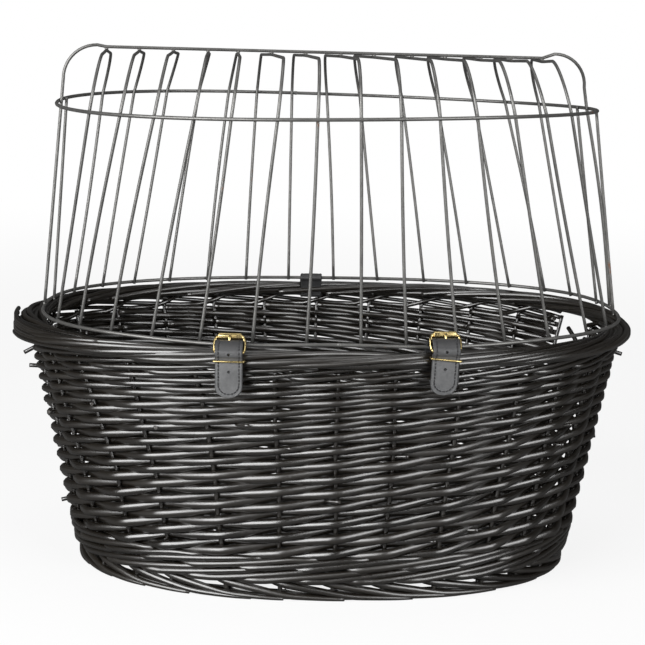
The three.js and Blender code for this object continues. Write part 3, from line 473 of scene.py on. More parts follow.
class Shade:
    """A material and the one method that adds nodes to it."""

    def __init__(self, name):
        self.material = bpy.data.materials.new(name)
        self.material.use_nodes = True
        self.tree = self.material.node_tree
        self.surface = self.tree.nodes["Principled BSDF"]

    def node(self, kind, settings=None, inputs=None, output=0):
        """Adds a node: its settings first, then the values or links of its sockets."""
        node = self.tree.nodes.new(kind)
        for key, value in (settings or {}).items():
            if key == "stops":
                self._stops(node.color_ramp, value)
            else:
                setattr(node, key, value)
        for key, value in (inputs or {}).items():
            feed(self.tree, node.inputs[key], value)
        return Value(self.tree, node.outputs[output])

    def _stops(self, ramp, stops):
        while len(ramp.elements) < len(stops):
            ramp.elements.new(0.5)
        for element, (place, shade) in zip(ramp.elements, stops):
            element.position = place
            element.color = (shade, shade, shade, 1)

    def attribute(self, name, output="Fac"):
        return self.node("ShaderNodeAttribute", {"attribute_name": name}, output=output)

    def noise(self, vector, scale, detail=3.0, roughness=0.55):
        inputs = {"Vector": vector, "Scale": scale, "Detail": detail, "Roughness": roughness}
        return self.node("ShaderNodeTexNoise", None, inputs)

    def stretched(self, vector, scale):
        settings = {"operation": "MULTIPLY"}
        return self.node("ShaderNodeVectorMath", settings, {0: vector, 1: scale})

    def ramp(self, value, *stops):
        return self.node("ShaderNodeValToRGB", {"stops": stops}, {"Fac": value})

    def mix(self, factor, a, b):
        inputs = {"Factor": factor, 6: a, 7: b}
        return self.node("ShaderNodeMix", {"data_type": "RGBA"}, inputs, output=2)

    def bump(self, height, distance, strength=1.0):
        inputs = {"Height": height, "Distance": distance, "Strength": strength}
        return self.node("ShaderNodeBump", None, inputs)

    def set(self, **inputs):
        """Feeds the surface; an underscore in a name stands for a space."""
        for key, value in inputs.items():
            feed(self.tree, self.surface.inputs[key.replace("_", " ")], value)
        return self.material


def colour(rgb):
    return (*rgb, 1.0)


def willow_material(look):
    """Willow bark stained black-brown: streaks along each rod, leaf scars, worn high spots."""
    s = Shade("willow_bark")
    grain = s.attribute("grain", "Vector")
    tone = s.attribute("tone")
    cut = s.attribute("cut")
    streaks = s.noise(s.stretched(grain, (0.035, 0.9, 0.9)), 1.0, 4.0, 0.6)
    blotches = s.noise(s.stretched(grain, (0.02, 0.15, 0.15)), 1.0, 2.0)
    scars = s.ramp(s.noise(s.stretched(grain, (0.09, 0.35, 0.35)), 1.0, 1.0), (0.70, 0), (0.76, 1))
    shade = s.ramp(streaks * 0.55 + tone * 0.3 + blotches * 0.25, (0.3, 0), (0.85, 1))
    body = s.mix(shade, colour(look.dark), colour(look.light))
    body = s.mix(scars * 0.6, body, colour(look.dark))
    body = s.mix(cut * 0.7, body, colour(look.cut_end))
    ridges = s.noise(s.stretched(grain, (0.025, 2.6, 2.6)), 1.0, 2.0)
    height = streaks * 0.35 + scars * 0.3 + ridges
    return s.set(
        Base_Color=body,
        Roughness=streaks * 0.14 + tone * 0.1 + look.roughness,
        Normal=s.bump(height, 0.0004, 0.22),
        Specular_IOR_Level=1.0,
        IOR=1.65,
    )


def wire_material(look):
    """Dark lacquered steel, worn along its length, with rust where the lacquer is gone."""
    s = Shade("cage_wire")
    here = s.node("ShaderNodeTexCoord", output="Object")
    wear = s.noise(here, 60.0, 4.0, 0.65)
    drawn = s.noise(s.stretched(here, (900.0, 900.0, 60.0)), 1.0, 2.0)
    rust = s.ramp(s.noise(here, 24.0, 5.0, 0.7), (0.665, 0), (0.70, 1))
    body = s.mix(wear, colour(look.dark), colour(look.light))
    body = s.mix(rust * 0.85, body, colour(look.rust))
    return s.set(
        Base_Color=body,
        Metallic=0.55 - rust * 0.45,
        Roughness=wear * 0.18 + rust * 0.35 + look.roughness,
        Normal=s.bump(drawn * 0.5 + rust * 0.7 + wear * 0.5, 0.00012, 0.5),
    )


def leather_material(look):
    """Dark grey leather with a fine pebbled grain, darker at its cut edges. Its edge colour is also
    painted shade where a free end lies in the buckle, and darkens the whole rear loop.
    """
    s = Shade("strap_leather")
    here = s.node("ShaderNodeTexCoord", output="Object")
    pebbles = s.node("ShaderNodeTexVoronoi", None, {"Vector": here, "Scale": 1500.0})
    creases = s.noise(here, 420.0, 4.0, 0.6)
    cloudy = s.noise(here, 55.0, 3.0)
    edge = s.attribute("edge")
    shade = s.ramp(cloudy * 0.6 + creases * 0.4, (0.3, 0), (0.75, 1))
    body = s.mix(shade, colour(look.dark), colour(look.light))
    # The edge value is 1 at the cut edges; elsewhere it is the ribbon's darkening, painted shade
    # where a free end lies in the buckle
    body = s.mix(edge * 0.9, body, colour(look.edge))
    return s.set(
        Base_Color=body,
        Roughness=creases * 0.15 + cloudy * 0.08 + look.roughness,
        Normal=s.bump(pebbles * 0.7 + creases * 0.6, 0.00025, 0.5),
        Specular_IOR_Level=0.45,
    )


def thread_material(look):
    """Dark twisted thread."""
    s = Shade("strap_thread")
    here = s.node("ShaderNodeTexCoord", output="Object")
    twist = s.noise(s.stretched(here, (2500.0, 2500.0, 900.0)), 1.0, 2.0)
    body = s.mix(twist, colour(look.thread), colour([c * 2.2 for c in look.thread]))
    return s.set(Base_Color=body, Roughness=0.7, Normal=s.bump(twist, 0.0001, 0.6))


def brass_material(look):
    """Brass plate: bright, a little cloudy, darker where fingers and dust have dulled it."""
    s = Shade("buckle_brass")
    here = s.node("ShaderNodeTexCoord", output="Object")
    cloud = s.noise(here, 130.0, 4.0, 0.6)
    fine = s.noise(here, 1600.0, 3.0, 0.6)
    dull = s.ramp(cloud, (0.45, 0), (0.72, 1))
    body = s.mix(dull, colour(look.light), colour(look.dark))
    return s.set(
        Base_Color=body,
        Metallic=1.0,
        Roughness=dull * 0.16 + fine * 0.06 + look.roughness,
        Normal=s.bump(fine, 0.00003, 0.4),
    )


# Willow

# How deep a woven rod presses into the stake that it passes, and its steps in each bay
ROD_BITE = 0.3
BAY_STEP = 1 / 8
# 1 makes a woven rod straight between its stakes, and 0 makes it an even wave
STIFFNESS = 0.975
STAKE_BELOW_FOOT = 6
STAKE_INTO_RIM = 5
# The short rod that slants in the hand hole
HOLE_ROD_PLACES = (1.75, 1.2)
HOLE_ROD_HEIGHTS = (173, 158)
HOLE_ROD_RADIUS = 1.9
# Borders: how often the rods inside them go round each other on the way round the basket
CORE_TURNS = 3
# Rim: how far its rods stay inside the border's width, the shape of its section (1 is round), and
# the angles round it where a rod starts, lies down on the outer face and ends
RIM_SIDE_INSET = 1.3
RIM_SQUARENESS = 0.86
RIM_ROLL_START = (-105, -74)
RIM_ROLL_END = 205
# Foot: how far before its stake a rod starts, the height at which that stake's place is taken, and
# the rods' heights and distance outwards at shares of their way
FOOT_START = 0.34
FOOT_STAKE_HEIGHT = 60.0
FOOT_FRONT = ([0, 0.03, 0.08, 0.17, 0.33, 0.58, 1], [19, 15.4, 13.0, 11.2, 8.2, 3.2, 1.2])
FOOT_BEHIND = ([0, 0.5, 1], [6.4, 3.0, 1.8])
FOOT_OUT = ([0, 0.04, 0.14, 0.5, 0.9, 1], [0.2, 2.0, 4.4, 5.4, 5.4, 4.8])
# Floor: pitch and size of the cross sticks, the long sticks and the rings of rods, the free edge
# round them, and the half width that the long sticks fill
CROSS_STICK_PITCH = 36.0
CROSS_STICK_RADIUS = 2.6
LONG_STICK_PITCH = 4.7
LONG_STICK_RADIUS = 2.4
FLOOR_EDGE = 2.2
FLOOR_RING_PITCH = 4.4
FLOOR_RING_ROD = 4.0
LONG_STICKS_HALF_WIDTH = 13
# Cut ends that stand off the side here and there: their number, heights and radii
STRAY_ENDS = 26
STRAY_HEIGHTS = (46, 158)
STRAY_RADII = (1.2, 1.7)
CUT_END_RADIUS = 1.7
# Butts that stand off the rim's left end: their number, the first one's place, the step from one to
# the next and the length of each, in stakes
SPLAY_COUNT = 6
SPLAY_PLACE = 13.75
SPLAY_STEP = 0.16
SPLAY_REACH = 3.4


def in_hole(places, z):
    """True where a point lies inside the hand hole."""
    local = np.mod(places, STAKES)
    return (local > HOLE[0]) & (local < HOLE[1]) & (z > HOLE_BOTTOM)


def kept_runs(keep):
    """Start and end of each unbroken run of True."""
    edges = np.flatnonzero(np.diff(np.concatenate([[0], keep.astype(int), [0]])))
    return [(a, b) for a, b in zip(edges[::2], edges[1::2]) if b - a > 2]


def rand_rods(bundle, first_row, last_row, settings):
    """French rand: one rod starts at each stake and climbs one row in every bay, over one
    stake and behind the next, from its thick butt to its thin tip."""
    draw = random.Random(5)
    row_marks, heights = np.array(ROW_HEIGHTS, float).T
    for m in range(STAKES):
        rows = np.arange(first_row, last_row + 0.01, BAY_STEP)
        places = rows - m
        phase = draw.uniform(0, 6.3)
        wander = 0.3 * np.sin(rows * 1.3 + phase) + 0.2 * np.sin(rows * 2.9 + 2 * phase)
        z = np.interp(rows, row_marks, heights) + wander
        thick = np.interp(rows, [0, 20, 28], [settings.butt, settings.tip, settings.tip * 0.78])
        thick = thick * (1 + 0.04 * np.sin(rows * 0.9 + phase * 3)) * draw.uniform(0.95, 1.05)
        # Stiff rods run straight from stake to stake and bend sharply over each
        bend = np.arcsin(STIFFNESS * np.cos(math.pi * rows)) / math.asin(STIFFNESS)
        reach = settings.stake / 2 + settings.squeeze * thick / 2 - ROD_BITE
        offset = reach * bend + 0.2 * np.sin(rows * 1.7 + phase)
        points = body_points(places, z, offset)
        for first, last in kept_runs(~in_hole(places, z)):
            radii = thick[first:last] / 2
            bundle.rod(
                points[first:last], radii, (0, 0, 1), settings.sides, flatten=settings.squeeze
            )


def make_side(settings, material):
    """The side, from the row in the lower wale to the rows under the upper band."""
    bundle = Bundle(11)
    rand_rods(bundle, SIDE_ROWS_START, SIDE_ROWS_END, settings)
    dress(bundle.piece("side_weave_rods", material), "basket", "willow", "side_weave")


def make_stakes(settings, material):
    """The upright stakes, and one short rod that slants in the hand hole."""
    bundle = Bundle(12)
    draw = random.Random(8)
    for k in range(STAKES):
        z = np.linspace(FOOT_TOP - STAKE_BELOW_FOOT, RIM[0] + STAKE_INTO_RIM, 40)
        sway = 0.5 * np.sin(z * 0.05 + draw.uniform(0, 6)) / 30
        thick = settings.stake * draw.uniform(0.82, 0.96) * (1 - 0.12 * z / 190)
        points = body_points(k + sway, z, 0.3 * np.sin(z * 0.11))
        bundle.rod(points, thick / 2, (1, 0, 0) if k % 14 else (0, 1, 0), settings.sides)
    places = np.linspace(*HOLE_ROD_PLACES, 8)
    heights = np.linspace(*HOLE_ROD_HEIGHTS, 8)
    slanting = body_points(places, heights, 0.0)
    bundle.rod(slanting, HOLE_ROD_RADIUS, (0, 0, 1), settings.sides)
    dress(bundle.piece("stakes", material), "basket", "willow")


def wale_rods(bundle, band, levels, settings, draw, thick):
    """Three-rod wale: each rod passes two stakes outside and one inside, climbing as it
    goes, so that the rods lie like the strands of a rope."""
    low, high = band
    pitch = (high - low) / (2 * levels)
    places = np.arange(0, STAKES + 0.01, BAY_STEP)
    for strand in range(3):
        for level in range(levels):
            middle = low + pitch * (2 * level + 1)
            cycle = np.mod(places - strand - level, 3) / 3
            inside = np.clip(1 - np.abs((cycle + 0.5) % 1 - 0.5) * 6, 0, 1)
            smooth = inside * inside * (3 - 2 * inside)
            out = (settings.stake / 2 + thick / 2 - ROD_BITE) * (1 - 2 * smooth)
            climb = np.interp(cycle, [0, 0.12, 0.88, 1], [0.0, -0.95, 0.95, 0.0])
            z = middle + climb * pitch + 0.3 * np.sin(places * 1.9 + draw.uniform(0, 6))
            z = np.clip(z, low + thick * 0.4, high - thick * 0.4)
            width = thick * (1 + 0.06 * np.sin(places * 0.8 + draw.uniform(0, 6)))
            # Each stroke outside is thick where it starts and thin where it ends
            width = width * np.interp(cycle, [0, 0.15, 0.85, 1], [1.0, 1.12, 0.86, 1.0])
            points = body_points(places, z, out)
            for first, last in kept_runs(~in_hole(places, z)):
                bundle.rod(points[first:last], width[first:last] / 2, (0, 0, 1), settings.sides)


def make_wales(settings, material):
    """The lower wale, and the upper band in which the side's rods run out under one thin
    wale."""
    draw = random.Random(21)
    bundle = Bundle(10)
    band = (LOWER_WALE[0], LOWER_WALE[1] + LOWER_WALE_OVERLAP)
    wale_rods(bundle, band, 2, settings, draw, settings.wale)
    dress(bundle.piece("lower_wale_rods", material), "basket", "willow", "lower_wale")
    bundle = Bundle(10)
    rand_rods(bundle, SIDE_ROWS_END, UPPER_ROWS_END, settings)
    wale_rods(bundle, UPPER_BAND, 1, settings, draw, settings.wale * UPPER_WALE_SHARE)
    dress(bundle.piece("upper_wale_rods", material), "basket", "willow", "upper_wale")


def core_rods(bundle, oval, round_table, count, radius, middle, reach):
    """Rods that go round each other inside a border and fill it. middle and reach are given
    outwards and up."""
    places = np.linspace(0, STAKES, STAKES * 6, endpoint=False)
    for k in range(count):
        turn = 2 * math.pi * (k / count + places * CORE_TURNS / STAKES)
        out = middle[0] + reach[0] * np.cos(turn)
        z = middle[1] + reach[1] * np.sin(turn)
        points = ring_points(oval, round_table, places, out, z)
        bundle.rod(points, radius, (0, 0, 1), 6, closed=True)


def make_rim(settings, material):
    """Rolled border: each stake's end leans over, lies along the rim's outer face, climbs
    over the top and ends inside."""
    bundle = Bundle(31)
    draw = random.Random(33)
    top, bottom = RIM[1] - settings.rim_drop, RIM[0] + settings.rim_lift
    middle, half_height = (top + bottom) / 2, (top - bottom) / 2
    half_width = RIM_WIDTH / 2 - RIM_SIDE_INSET
    for i in range(settings.rim_rods * STAKES):
        start = i / settings.rim_rods + draw.uniform(-0.15, 0.15)
        t = np.linspace(0, 1, 64)
        places = start + settings.rim_reach * draw.uniform(0.88, 1.12) * t
        last = RIM_ROLL_END + draw.uniform(-25, 20)
        turn = math.radians(1) * np.interp(t, [0, 0.1, 1], [*RIM_ROLL_START, last])
        turn = turn + 0.05 * np.sin(t * 8 + draw.uniform(0, 6))
        thick = settings.rim_rod * (1 - 0.3 * t) * draw.uniform(0.84, 1.1)
        lift = draw.uniform(-0.9, 0.3) + 0.5 * np.sin(t * 9 + draw.uniform(0, 6))
        c, s = np.cos(turn), np.sin(turn)
        out = (half_width - thick / 2 + lift) * np.sign(c) * np.abs(c) ** RIM_SQUARENESS
        up = (half_height - thick / 2 + lift * 0.6) * np.sign(s) * np.abs(s) ** RIM_SQUARENESS
        z = middle + up
        points = ring_points(RIM_OVAL, RIM_ROUND, places, out, z)
        bundle.rod(points, thick / 2, (0, 0, 1), settings.sides)
    core_rods(bundle, RIM_OVAL, RIM_ROUND, 6, 2.9, (0, middle - 0.8), (5.0, 1.6))
    splay_ends(bundle, settings, draw)
    dress(bundle.piece("rim_border_rods", material), "basket", "willow", "rim_border")


def splay_ends(bundle, settings, draw):
    """Butts that stand off the rim at its left end, where the rolling started."""
    for k in range(SPLAY_COUNT):
        t = np.linspace(0, 1, 20)
        places = SPLAY_PLACE + SPLAY_STEP * k + t * SPLAY_REACH
        out = 12.6 - 3.5 * t - 6 * t * t + draw.uniform(-0.6, 0.6)
        z = RIM_MIDDLE + 8.0 - 2.4 * k + (1.4 * k - 1.5) * t
        thick = settings.rim_rod * 0.7 * (1 - 0.25 * t) * draw.uniform(0.9, 1.1)
        points = ring_points(RIM_OVAL, RIM_ROUND, places, out, z)
        bundle.rod(points, thick / 2, (0, 0, 1), settings.sides)


def make_foot(settings, material):
    """Foot border: at each stake a butt comes from behind the wale, leans over and sweeps
    along and down the foot, over the ends of the ones before it."""
    bundle = Bundle(41)
    draw = random.Random(43)
    kernel = np.ones(5) / 5
    for course, inset, shift in ((FOOT_FRONT, 0.0, 0.0), (FOOT_BEHIND, 3.4, 0.4)):
        for i in range(STAKES):
            at = float(stand(float(i), FOOT_STAKE_HEIGHT)) - FOOT_START
            start = at + shift + draw.uniform(-0.04, 0.04)
            t = np.linspace(0, 1, 40) ** 1.3
            places = start + settings.foot_reach * draw.uniform(0.94, 1.06) * t
            thick = settings.foot_rod * (1 - 0.3 * t - 0.25 * t**3) * draw.uniform(0.95, 1.05)
            z = np.interp(t, *course)
            out = np.interp(t, *FOOT_OUT)
            z = np.convolve(np.pad(z, 2, "edge"), kernel, "valid")
            out = np.convolve(np.pad(out, 2, "edge"), kernel, "valid") - inset
            z = np.maximum(z + draw.uniform(-0.3, 0.3), thick / 2 + 0.05)
            points = ring_points(FOOT_OVAL, FOOT_ROUND, places, out - (thick - 4) / 2, z)
            bundle.rod(points, thick / 2, (0, 0, 1), settings.sides)
    core_rods(bundle, FOOT_OVAL, FOOT_ROUND, 3, 2.3, (-2.4, 3.6), (2.4, 1.2))
    dress(bundle.piece("foot_border_rods", material), "basket", "willow", "foot_border")


def make_floor(material):
    """Woven oval floor: cross sticks and long sticks, with rods woven round them."""
    bundle = Bundle(51)
    draw = random.Random(53)
    middle = (FLOOR[0] + FLOOR[1]) / 2
    half = [h - WEAVE_THICKNESS - FLOOR_EDGE for h in body_half(FLOOR[0])]

    def rise(x, y):
        share = np.clip((x / half[0]) ** 2 + (y / half[1]) ** 2, 0, 1)
        return FLOOR_CROWN * (1 - share)

    for k in range(-3, 4):
        x0 = k * CROSS_STICK_PITCH
        reach = oval_depth(half[0], half[1], BODY_ROUNDNESS, x0)
        y = np.linspace(-reach, reach, 30)
        x = np.full(30, x0)
        bundle.rod(np.stack([x, y, middle + rise(x, y)], 1), CROSS_STICK_RADIUS, (1, 0, 0), 8)
    for k in range(-2, 3):
        y0 = k * LONG_STICK_PITCH
        reach = half[0] * 0.97
        x = np.linspace(-reach, reach, 60)
        y = y0 * (1 + 3.2 * (np.abs(x) / reach) ** 3)
        bundle.rod(np.stack([x, y, middle + rise(x, y)], 1), LONG_STICK_RADIUS, (0, 1, 0), 8)
    rings = int((half[1] - LONG_STICKS_HALF_WIDTH) / FLOOR_RING_PITCH)
    table = Round(*half)
    for r in range(rings):
        inset = FLOOR_EDGE + FLOOR_RING_PITCH * r
        a, b = half[0] - inset, half[1] - inset
        places = np.linspace(0, STAKES, STAKES * 5, endpoint=False)
        x, y = oval_point(a, b, BODY_ROUNDNESS, table.angle(places))
        wave = np.cos(math.pi * (places + r)) * 1.7
        z = middle + rise(x, y) + wave
        thick = FLOOR_RING_ROD * draw.uniform(0.92, 1.06)
        bundle.rod(np.stack([x, y, z], 1), thick / 2, (0, 0, 1), 6, closed=True)
    dress(bundle.piece("floor_rods", material), "basket", "willow", "floor_weave")


# Cut ends that stand off the weave: place in stakes, height, length and upward lean in mm
CUT_ENDS = (
    (14.05, 178.0, 7.0, 4.0),
    (14.25, 168.5, 8.5, -6.0),
    (14.1, 150.5, 7.5, 0.5),
    (14.3, 44.0, 5.5, -2.0),
    (27.6, 172.0, 5.0, -2.5),
    (0.2, 130.0, 4.0, 1.0),
    (27.9, 96.0, 4.5, 1.5),
)


def make_stubs(material):
    """Cut ends of rods that stick out of the weave, most of them at its two ends."""
    bundle = Bundle(61)
    draw = random.Random(67)
    for place, z, length, lean in CUT_ENDS:
        start = body_points([place], [z], [2.0])[0]
        end = body_points([place], [z + lean], [6.0 + length])[0]
        bundle.rod(np.linspace(start, end, 5), CUT_END_RADIUS, (0, 1, 0), 8)
    for _ in range(STRAY_ENDS):
        place, z = draw.uniform(0, STAKES), draw.uniform(*STRAY_HEIGHTS)
        start = body_points([place], [z], [0.0])[0]
        end = body_points([place + draw.uniform(0.1, 0.25)], [z + 1], [draw.uniform(6, 8)])[0]
        if not in_hole(np.array(place), np.array(z + 20)):
            radius = draw.uniform(*STRAY_RADII)
            bundle.rod(np.linspace(start, end, 5), radius, (0, 0, 1), 8)
    dress(bundle.piece("cut_ends", material), "basket", "willow")


# Cage


def hoop_height(hoop, x, y):
    """Height of a hoop's wire: the straps draw the lower hoop's front down a little."""
    z = hoop["z"] - hoop["twist"] * x * y
    if hoop is LOWER_HOOP:
        pull = sum(math.exp(-(((x - at) / SAG_LENGTH) ** 2)) for at in SAG_AT)
        z += REAR_LIFT * min(max(y / 80, 0), 1) - SAG * pull * min(max(-y / 80, 0), 1)
    return z


def hoop_point(hoop, inset, angle):
    """Point of a hoop, or of the same oval made smaller by an inset, at an angle."""
    x, y = oval_point(hoop["a"] - inset, hoop["b"] - inset, hoop["n"], angle)
    x, y = float(x), float(y)
    return np.array([x + hoop["shift"] + CAGE_SHIFT, y, hoop_height(hoop, x, y)])


def hoop_side(hoop, inset, x, towards):
    """Point of a hoop at a distance along it, on its front (-1) or rear (1)."""
    along = x - hoop["shift"]
    y = towards * oval_depth(hoop["a"] - inset, hoop["b"] - inset, hoop["n"], along)
    return np.array([x + CAGE_SHIFT, y, hoop_height(hoop, along, y)])


# Beads where wires are welded, as shares of the wire's thickness
HOOP_BEAD = 0.62
ARCH_BEAD = 0.42
BAR_BEAD = 0.5
SPINE_FOOT_BEAD = 0.55
INSIDE_HOOP = HOOP_WIRE / 2 + ARCH_WIRE / 2 + GAP
SPINE_SEAT = ARCH_WIRE / 2 + SPINE_WIRE / 2 + GAP


def arch_half(foot_x, shoulder_x, towards, bow):
    """One half of an arch from its nub to its shoulder, its leg a little bowed."""
    mid_x = foot_x + (shoulder_x - foot_x) * MID_SHARE[towards]
    foot = hoop_side(LOWER_HOOP, INSIDE_HOOP, foot_x, towards)
    mid = hoop_side(MID_HOOP, INSIDE_HOOP, mid_x, towards)
    slope = (mid - foot) / (mid[2] - foot[2])
    bottom = foot - slope * WIRE_NUB
    points = []
    for t in np.linspace(0, 1, 14)[:-1]:
        swing = math.sin(math.pi * t) * bow
        points.append(bottom + (mid - bottom) * t + np.array([swing, 0, 0]))
    radius = min(SHOULDER_RADIUS, abs(mid[1]) * SHOULDER_LIMIT)
    shoulder_z = ROOF - towards * ROOF_TILT * (abs(mid[1]) - radius)
    for t in np.linspace(0, 1, 14):
        angle = math.pi / 2 * t
        x = mid[0] + (shoulder_x + CAGE_SHIFT - mid[0]) * math.sin(angle)
        y = mid[1] - towards * radius * (1 - math.cos(angle))
        z = mid[2] + (shoulder_z - mid[2]) * math.sin(angle)
        points.append(np.array([x, y, z]))
    return points, foot, mid


def arch_crown(arch):
    """Highest point of an arch, under the spine."""
    x = (arch[2] + arch[3]) / 2 * LOWER_HOOP["a"]
    return np.array([x + CAGE_SHIFT, 0, ROOF + ROOF_CROWN - ROOF_FALL * x])


def weld(bundle, point, along, size):
    """A small bead where two wires are welded."""
    t = np.linspace(-1, 1, 7)
    points = point[None] + np.asarray(along)[None] * (t * size * 1.5)[:, None]
    radii = size * np.sqrt(np.maximum(1 - t * t, 0.02))
    side = (0, 0, 1) if abs(along[2]) < 0.9 else (1, 0, 0)
    bundle.rod(points, radii, side, 8)


def make_hoops(settings, material, welds):
    """The two oval hoops, each with the bead where its wire is closed."""
    for name, hoop in (("lower_hoop", LOWER_HOOP), ("mid_hoop", MID_HOOP)):
        bundle = Bundle(71)
        shares, angles = angle_table(hoop["a"], hoop["b"], hoop["n"])
        even = np.interp(np.linspace(0, 1, 200, endpoint=False), shares, angles)
        points = np.array([hoop_point(hoop, 0, angle) for angle in even])
        bundle.rod(points, settings.hoop / 2, (0, 0, 1), 12, closed=True)
        dress(bundle.piece(name + "_wire", material), "cage", "wire", name)
    for hoop, x, towards in ((LOWER_HOOP, -1.0, -1), (MID_HOOP, -27.0, 1)):
        point = hoop_side(hoop, 0, x, towards)
        weld(welds, point, (1.0, 0.0, 0.0), settings.hoop * HOOP_BEAD)


def make_arches(settings, material, welds):
    """The arches, with beads at both hoops and under the spine."""
    draw = random.Random(83)
    for i, arch in enumerate(ARCHES):
        feet = [share * LOWER_HOOP["a"] for share in arch]
        front, foot_f, mid_f = arch_half(feet[0], feet[2], -1, draw.uniform(-1.2, 1.2))
        rear, foot_r, mid_r = arch_half(feet[1], feet[3], 1, draw.uniform(-1.2, 1.2))
        crown = arch_crown(arch)
        front_half = (front[-1] + crown) / 2
        rear_half = (rear[-1] + crown) / 2
        roof = smooth_path([front[-1], front_half, crown, rear_half, rear[-1]], 6)
        points = np.concatenate([np.array(front), roof[1:-1], np.array(rear[::-1])])
        bundle = Bundle(90 + i)
        bundle.rod(points, settings.arch / 2, (1, 0, 0), 10)
        name = f"arch_{i + 1:02d}"
        dress(bundle.piece(name + "_wire", material), "cage", "wire", name)
        for foot, mid, towards in ((foot_f, mid_f, -1), (foot_r, mid_r, 1)):
            for point in (foot, mid):
                bead = point + np.array([0, towards * INSIDE_HOOP / 2, 0])
                weld(welds, bead, (1.0, 0.0, 0.0), settings.arch * ARCH_BEAD)
        under_spine = crown + np.array([0, 0, SPINE_SEAT / 2])
        weld(welds, under_spine, (1.0, 0.0, 0.0), settings.arch * ARCH_BEAD)


def make_end_bars(settings, material, welds):
    """Upright bars at the cage's ends, from the lower hoop to the middle one."""
    for name, degrees, under in END_BARS:
        angle = math.radians(degrees)
        foot = hoop_point(LOWER_HOOP, INSIDE_HOOP, angle)
        head = hoop_point(MID_HOOP, 0 if under else INSIDE_HOOP, angle)
        slope = (head - foot) / (head[2] - foot[2])
        bottom = foot - slope * WIRE_NUB
        top = head + slope * (-HOOP_WIRE / 2 - GAP if under else WIRE_NUB)
        t = np.linspace(0, 1, 16)[:, None]
        bow = np.array([0, 1.0, 0]) * np.sin(math.pi * t)
        bundle = Bundle(110)
        bundle.rod(bottom + (top - bottom) * t + bow, settings.arch / 2, (0, 1, 0), 10)
        dress(bundle.piece(name + "_wire", material), "cage", "wire", name)
        for point in (foot, head):
            weld(welds, point, (0.0, 1.0, 0.0), settings.arch * BAR_BEAD)


def make_spine(settings, material, welds):
    """One wire up the left end, over the arches and down the right end."""
    legs = []
    for degrees, corner_lift in SPINE_LEGS:
        angle = math.radians(degrees)
        foot = hoop_point(LOWER_HOOP, 0, angle)
        mid = hoop_point(MID_HOOP, HOOP_WIRE / 2 + SPINE_WIRE / 2 + GAP, angle)
        slope = (mid - foot) / (mid[2] - foot[2])
        crown = ROOF + ROOF_CROWN - ROOF_FALL * (mid[0] - CAGE_SHIFT)
        rise = crown + SPINE_SEAT + corner_lift - SPINE_CORNER - mid[2]
        start = mid + slope * rise
        bottom = foot + slope * (HOOP_WIRE / 2 + GAP)
        inward = -math.copysign(1, mid[0])
        bow = 2.8 if inward < 0 else 0.0
        points = []
        for t in np.linspace(0, 1, 14)[:-1]:
            swing = np.array([bow * math.sin(math.pi * t), 0, 0])
            points.append(bottom + (mid - bottom) * t + swing)
        points.append(mid)
        for t in np.linspace(0, 1, 12):
            turn = math.pi / 2 * t
            x = start[0] + inward * SPINE_CORNER * (1 - math.cos(turn))
            points.append(np.array([x, start[1] * (1 - t), start[2] + SPINE_CORNER * math.sin(turn)]))
        legs.append(points)
        on_hoop = foot + np.array([0, 0, HOOP_WIRE / 2])
        weld(welds, on_hoop, (0.0, 0.0, 1.0), settings.arch * SPINE_FOOT_BEAD)
        weld(welds, mid, (0.0, 1.0, 0.0), settings.arch * BAR_BEAD)
    flat = [arch_crown(arch) + np.array([0, 0, SPINE_SEAT]) for arch in ARCHES]
    path = smooth_path(flat, 4)
    points = np.concatenate([np.array(legs[0]), path, np.array(legs[1][::-1])])
    bundle = Bundle(120)
    bundle.rod(points, settings.arch * 1.04 / 2, (0, 1, 0), 10)
    dress(bundle.piece("spine_wire", material), "cage", "wire", "spine")


# Leather and brass


class Place:
    """Where leather goes round the rim: an origin on the rim's middle, a direction outwards
    and one across."""

    def __init__(self, x, towards, turn):
        depth = oval_depth(RIM_OVAL[0], RIM_OVAL[1], BODY_ROUNDNESS, x)
        self.origin = np.array([x, towards * depth, 0.0])
        a = math.radians(turn)
        self.out = np.array([-towards * math.sin(a), towards * math.cos(a), 0.0])
        self.across = np.cross((0, 0, 1), self.out)
        near, far = 0.0, 2 * RIM_WIDTH
        while far - near > 0.01:
            half = (near + far) / 2
            point = self.origin - self.out * half
            hoop = hoop_side(LOWER_HOOP, 0, point[0] - CAGE_SHIFT, towards)
            if abs(point[1]) > abs(hoop[1]):
                near = half
            else:
                far = half
        self.hoop_inset = near

    def at(self, across, out, up):
        return self.origin + self.across * across + self.out * out + np.array([0, 0, up])


class Buckle:
    """Place of one buckle: its strap's place, the heel bar and the plane of its frame."""

    def __init__(self, name, x, turn, rise, tail, keeper_drop, keeper_tilt, tail_lean):
        self.name = name
        self.place = Place(x, -1, turn)
        self.heel = (HEEL_OUT, RIM_MIDDLE + HEEL_ABOVE_RIM_MIDDLE + rise)
        self.tail, self.keeper_drop = tail, keeper_drop
        self.keeper_tilt, self.tail_lean = keeper_tilt, tail_lean

    def side(self, reach, height):
        c, s = math.cos(BUCKLE_LEAN), math.sin(BUCKLE_LEAN)
        return (
            self.heel[0] - s * reach + c * height,
            self.heel[1] + c * reach + s * height,
        )

    def at(self, across, reach, height):
        out, up = self.side(reach, height)
        return self.place.at(across, out, up)


LEFT_BUCKLE = {"x": -75.2, "turn": -5.0, "rise": 0.0, "tail": 32.8}
LEFT_KEEPER = {"keeper_drop": 5.9, "keeper_tilt": 0.0, "tail_lean": 0.0}
RIGHT_BUCKLE = {"x": 79.2, "turn": 5.0, "rise": 2.7, "tail": 32.2}
RIGHT_KEEPER = {"keeper_drop": 6.1, "keeper_tilt": 6.0, "tail_lean": -1.6}
BUCKLES = (
    Buckle("left", **LEFT_BUCKLE, **LEFT_KEEPER),
    Buckle("right", **RIGHT_BUCKLE, **RIGHT_KEEPER),
)
REAR_LOOP_X = -5.6
REAR_PLACE = Place(REAR_LOOP_X, 1, 0.0)


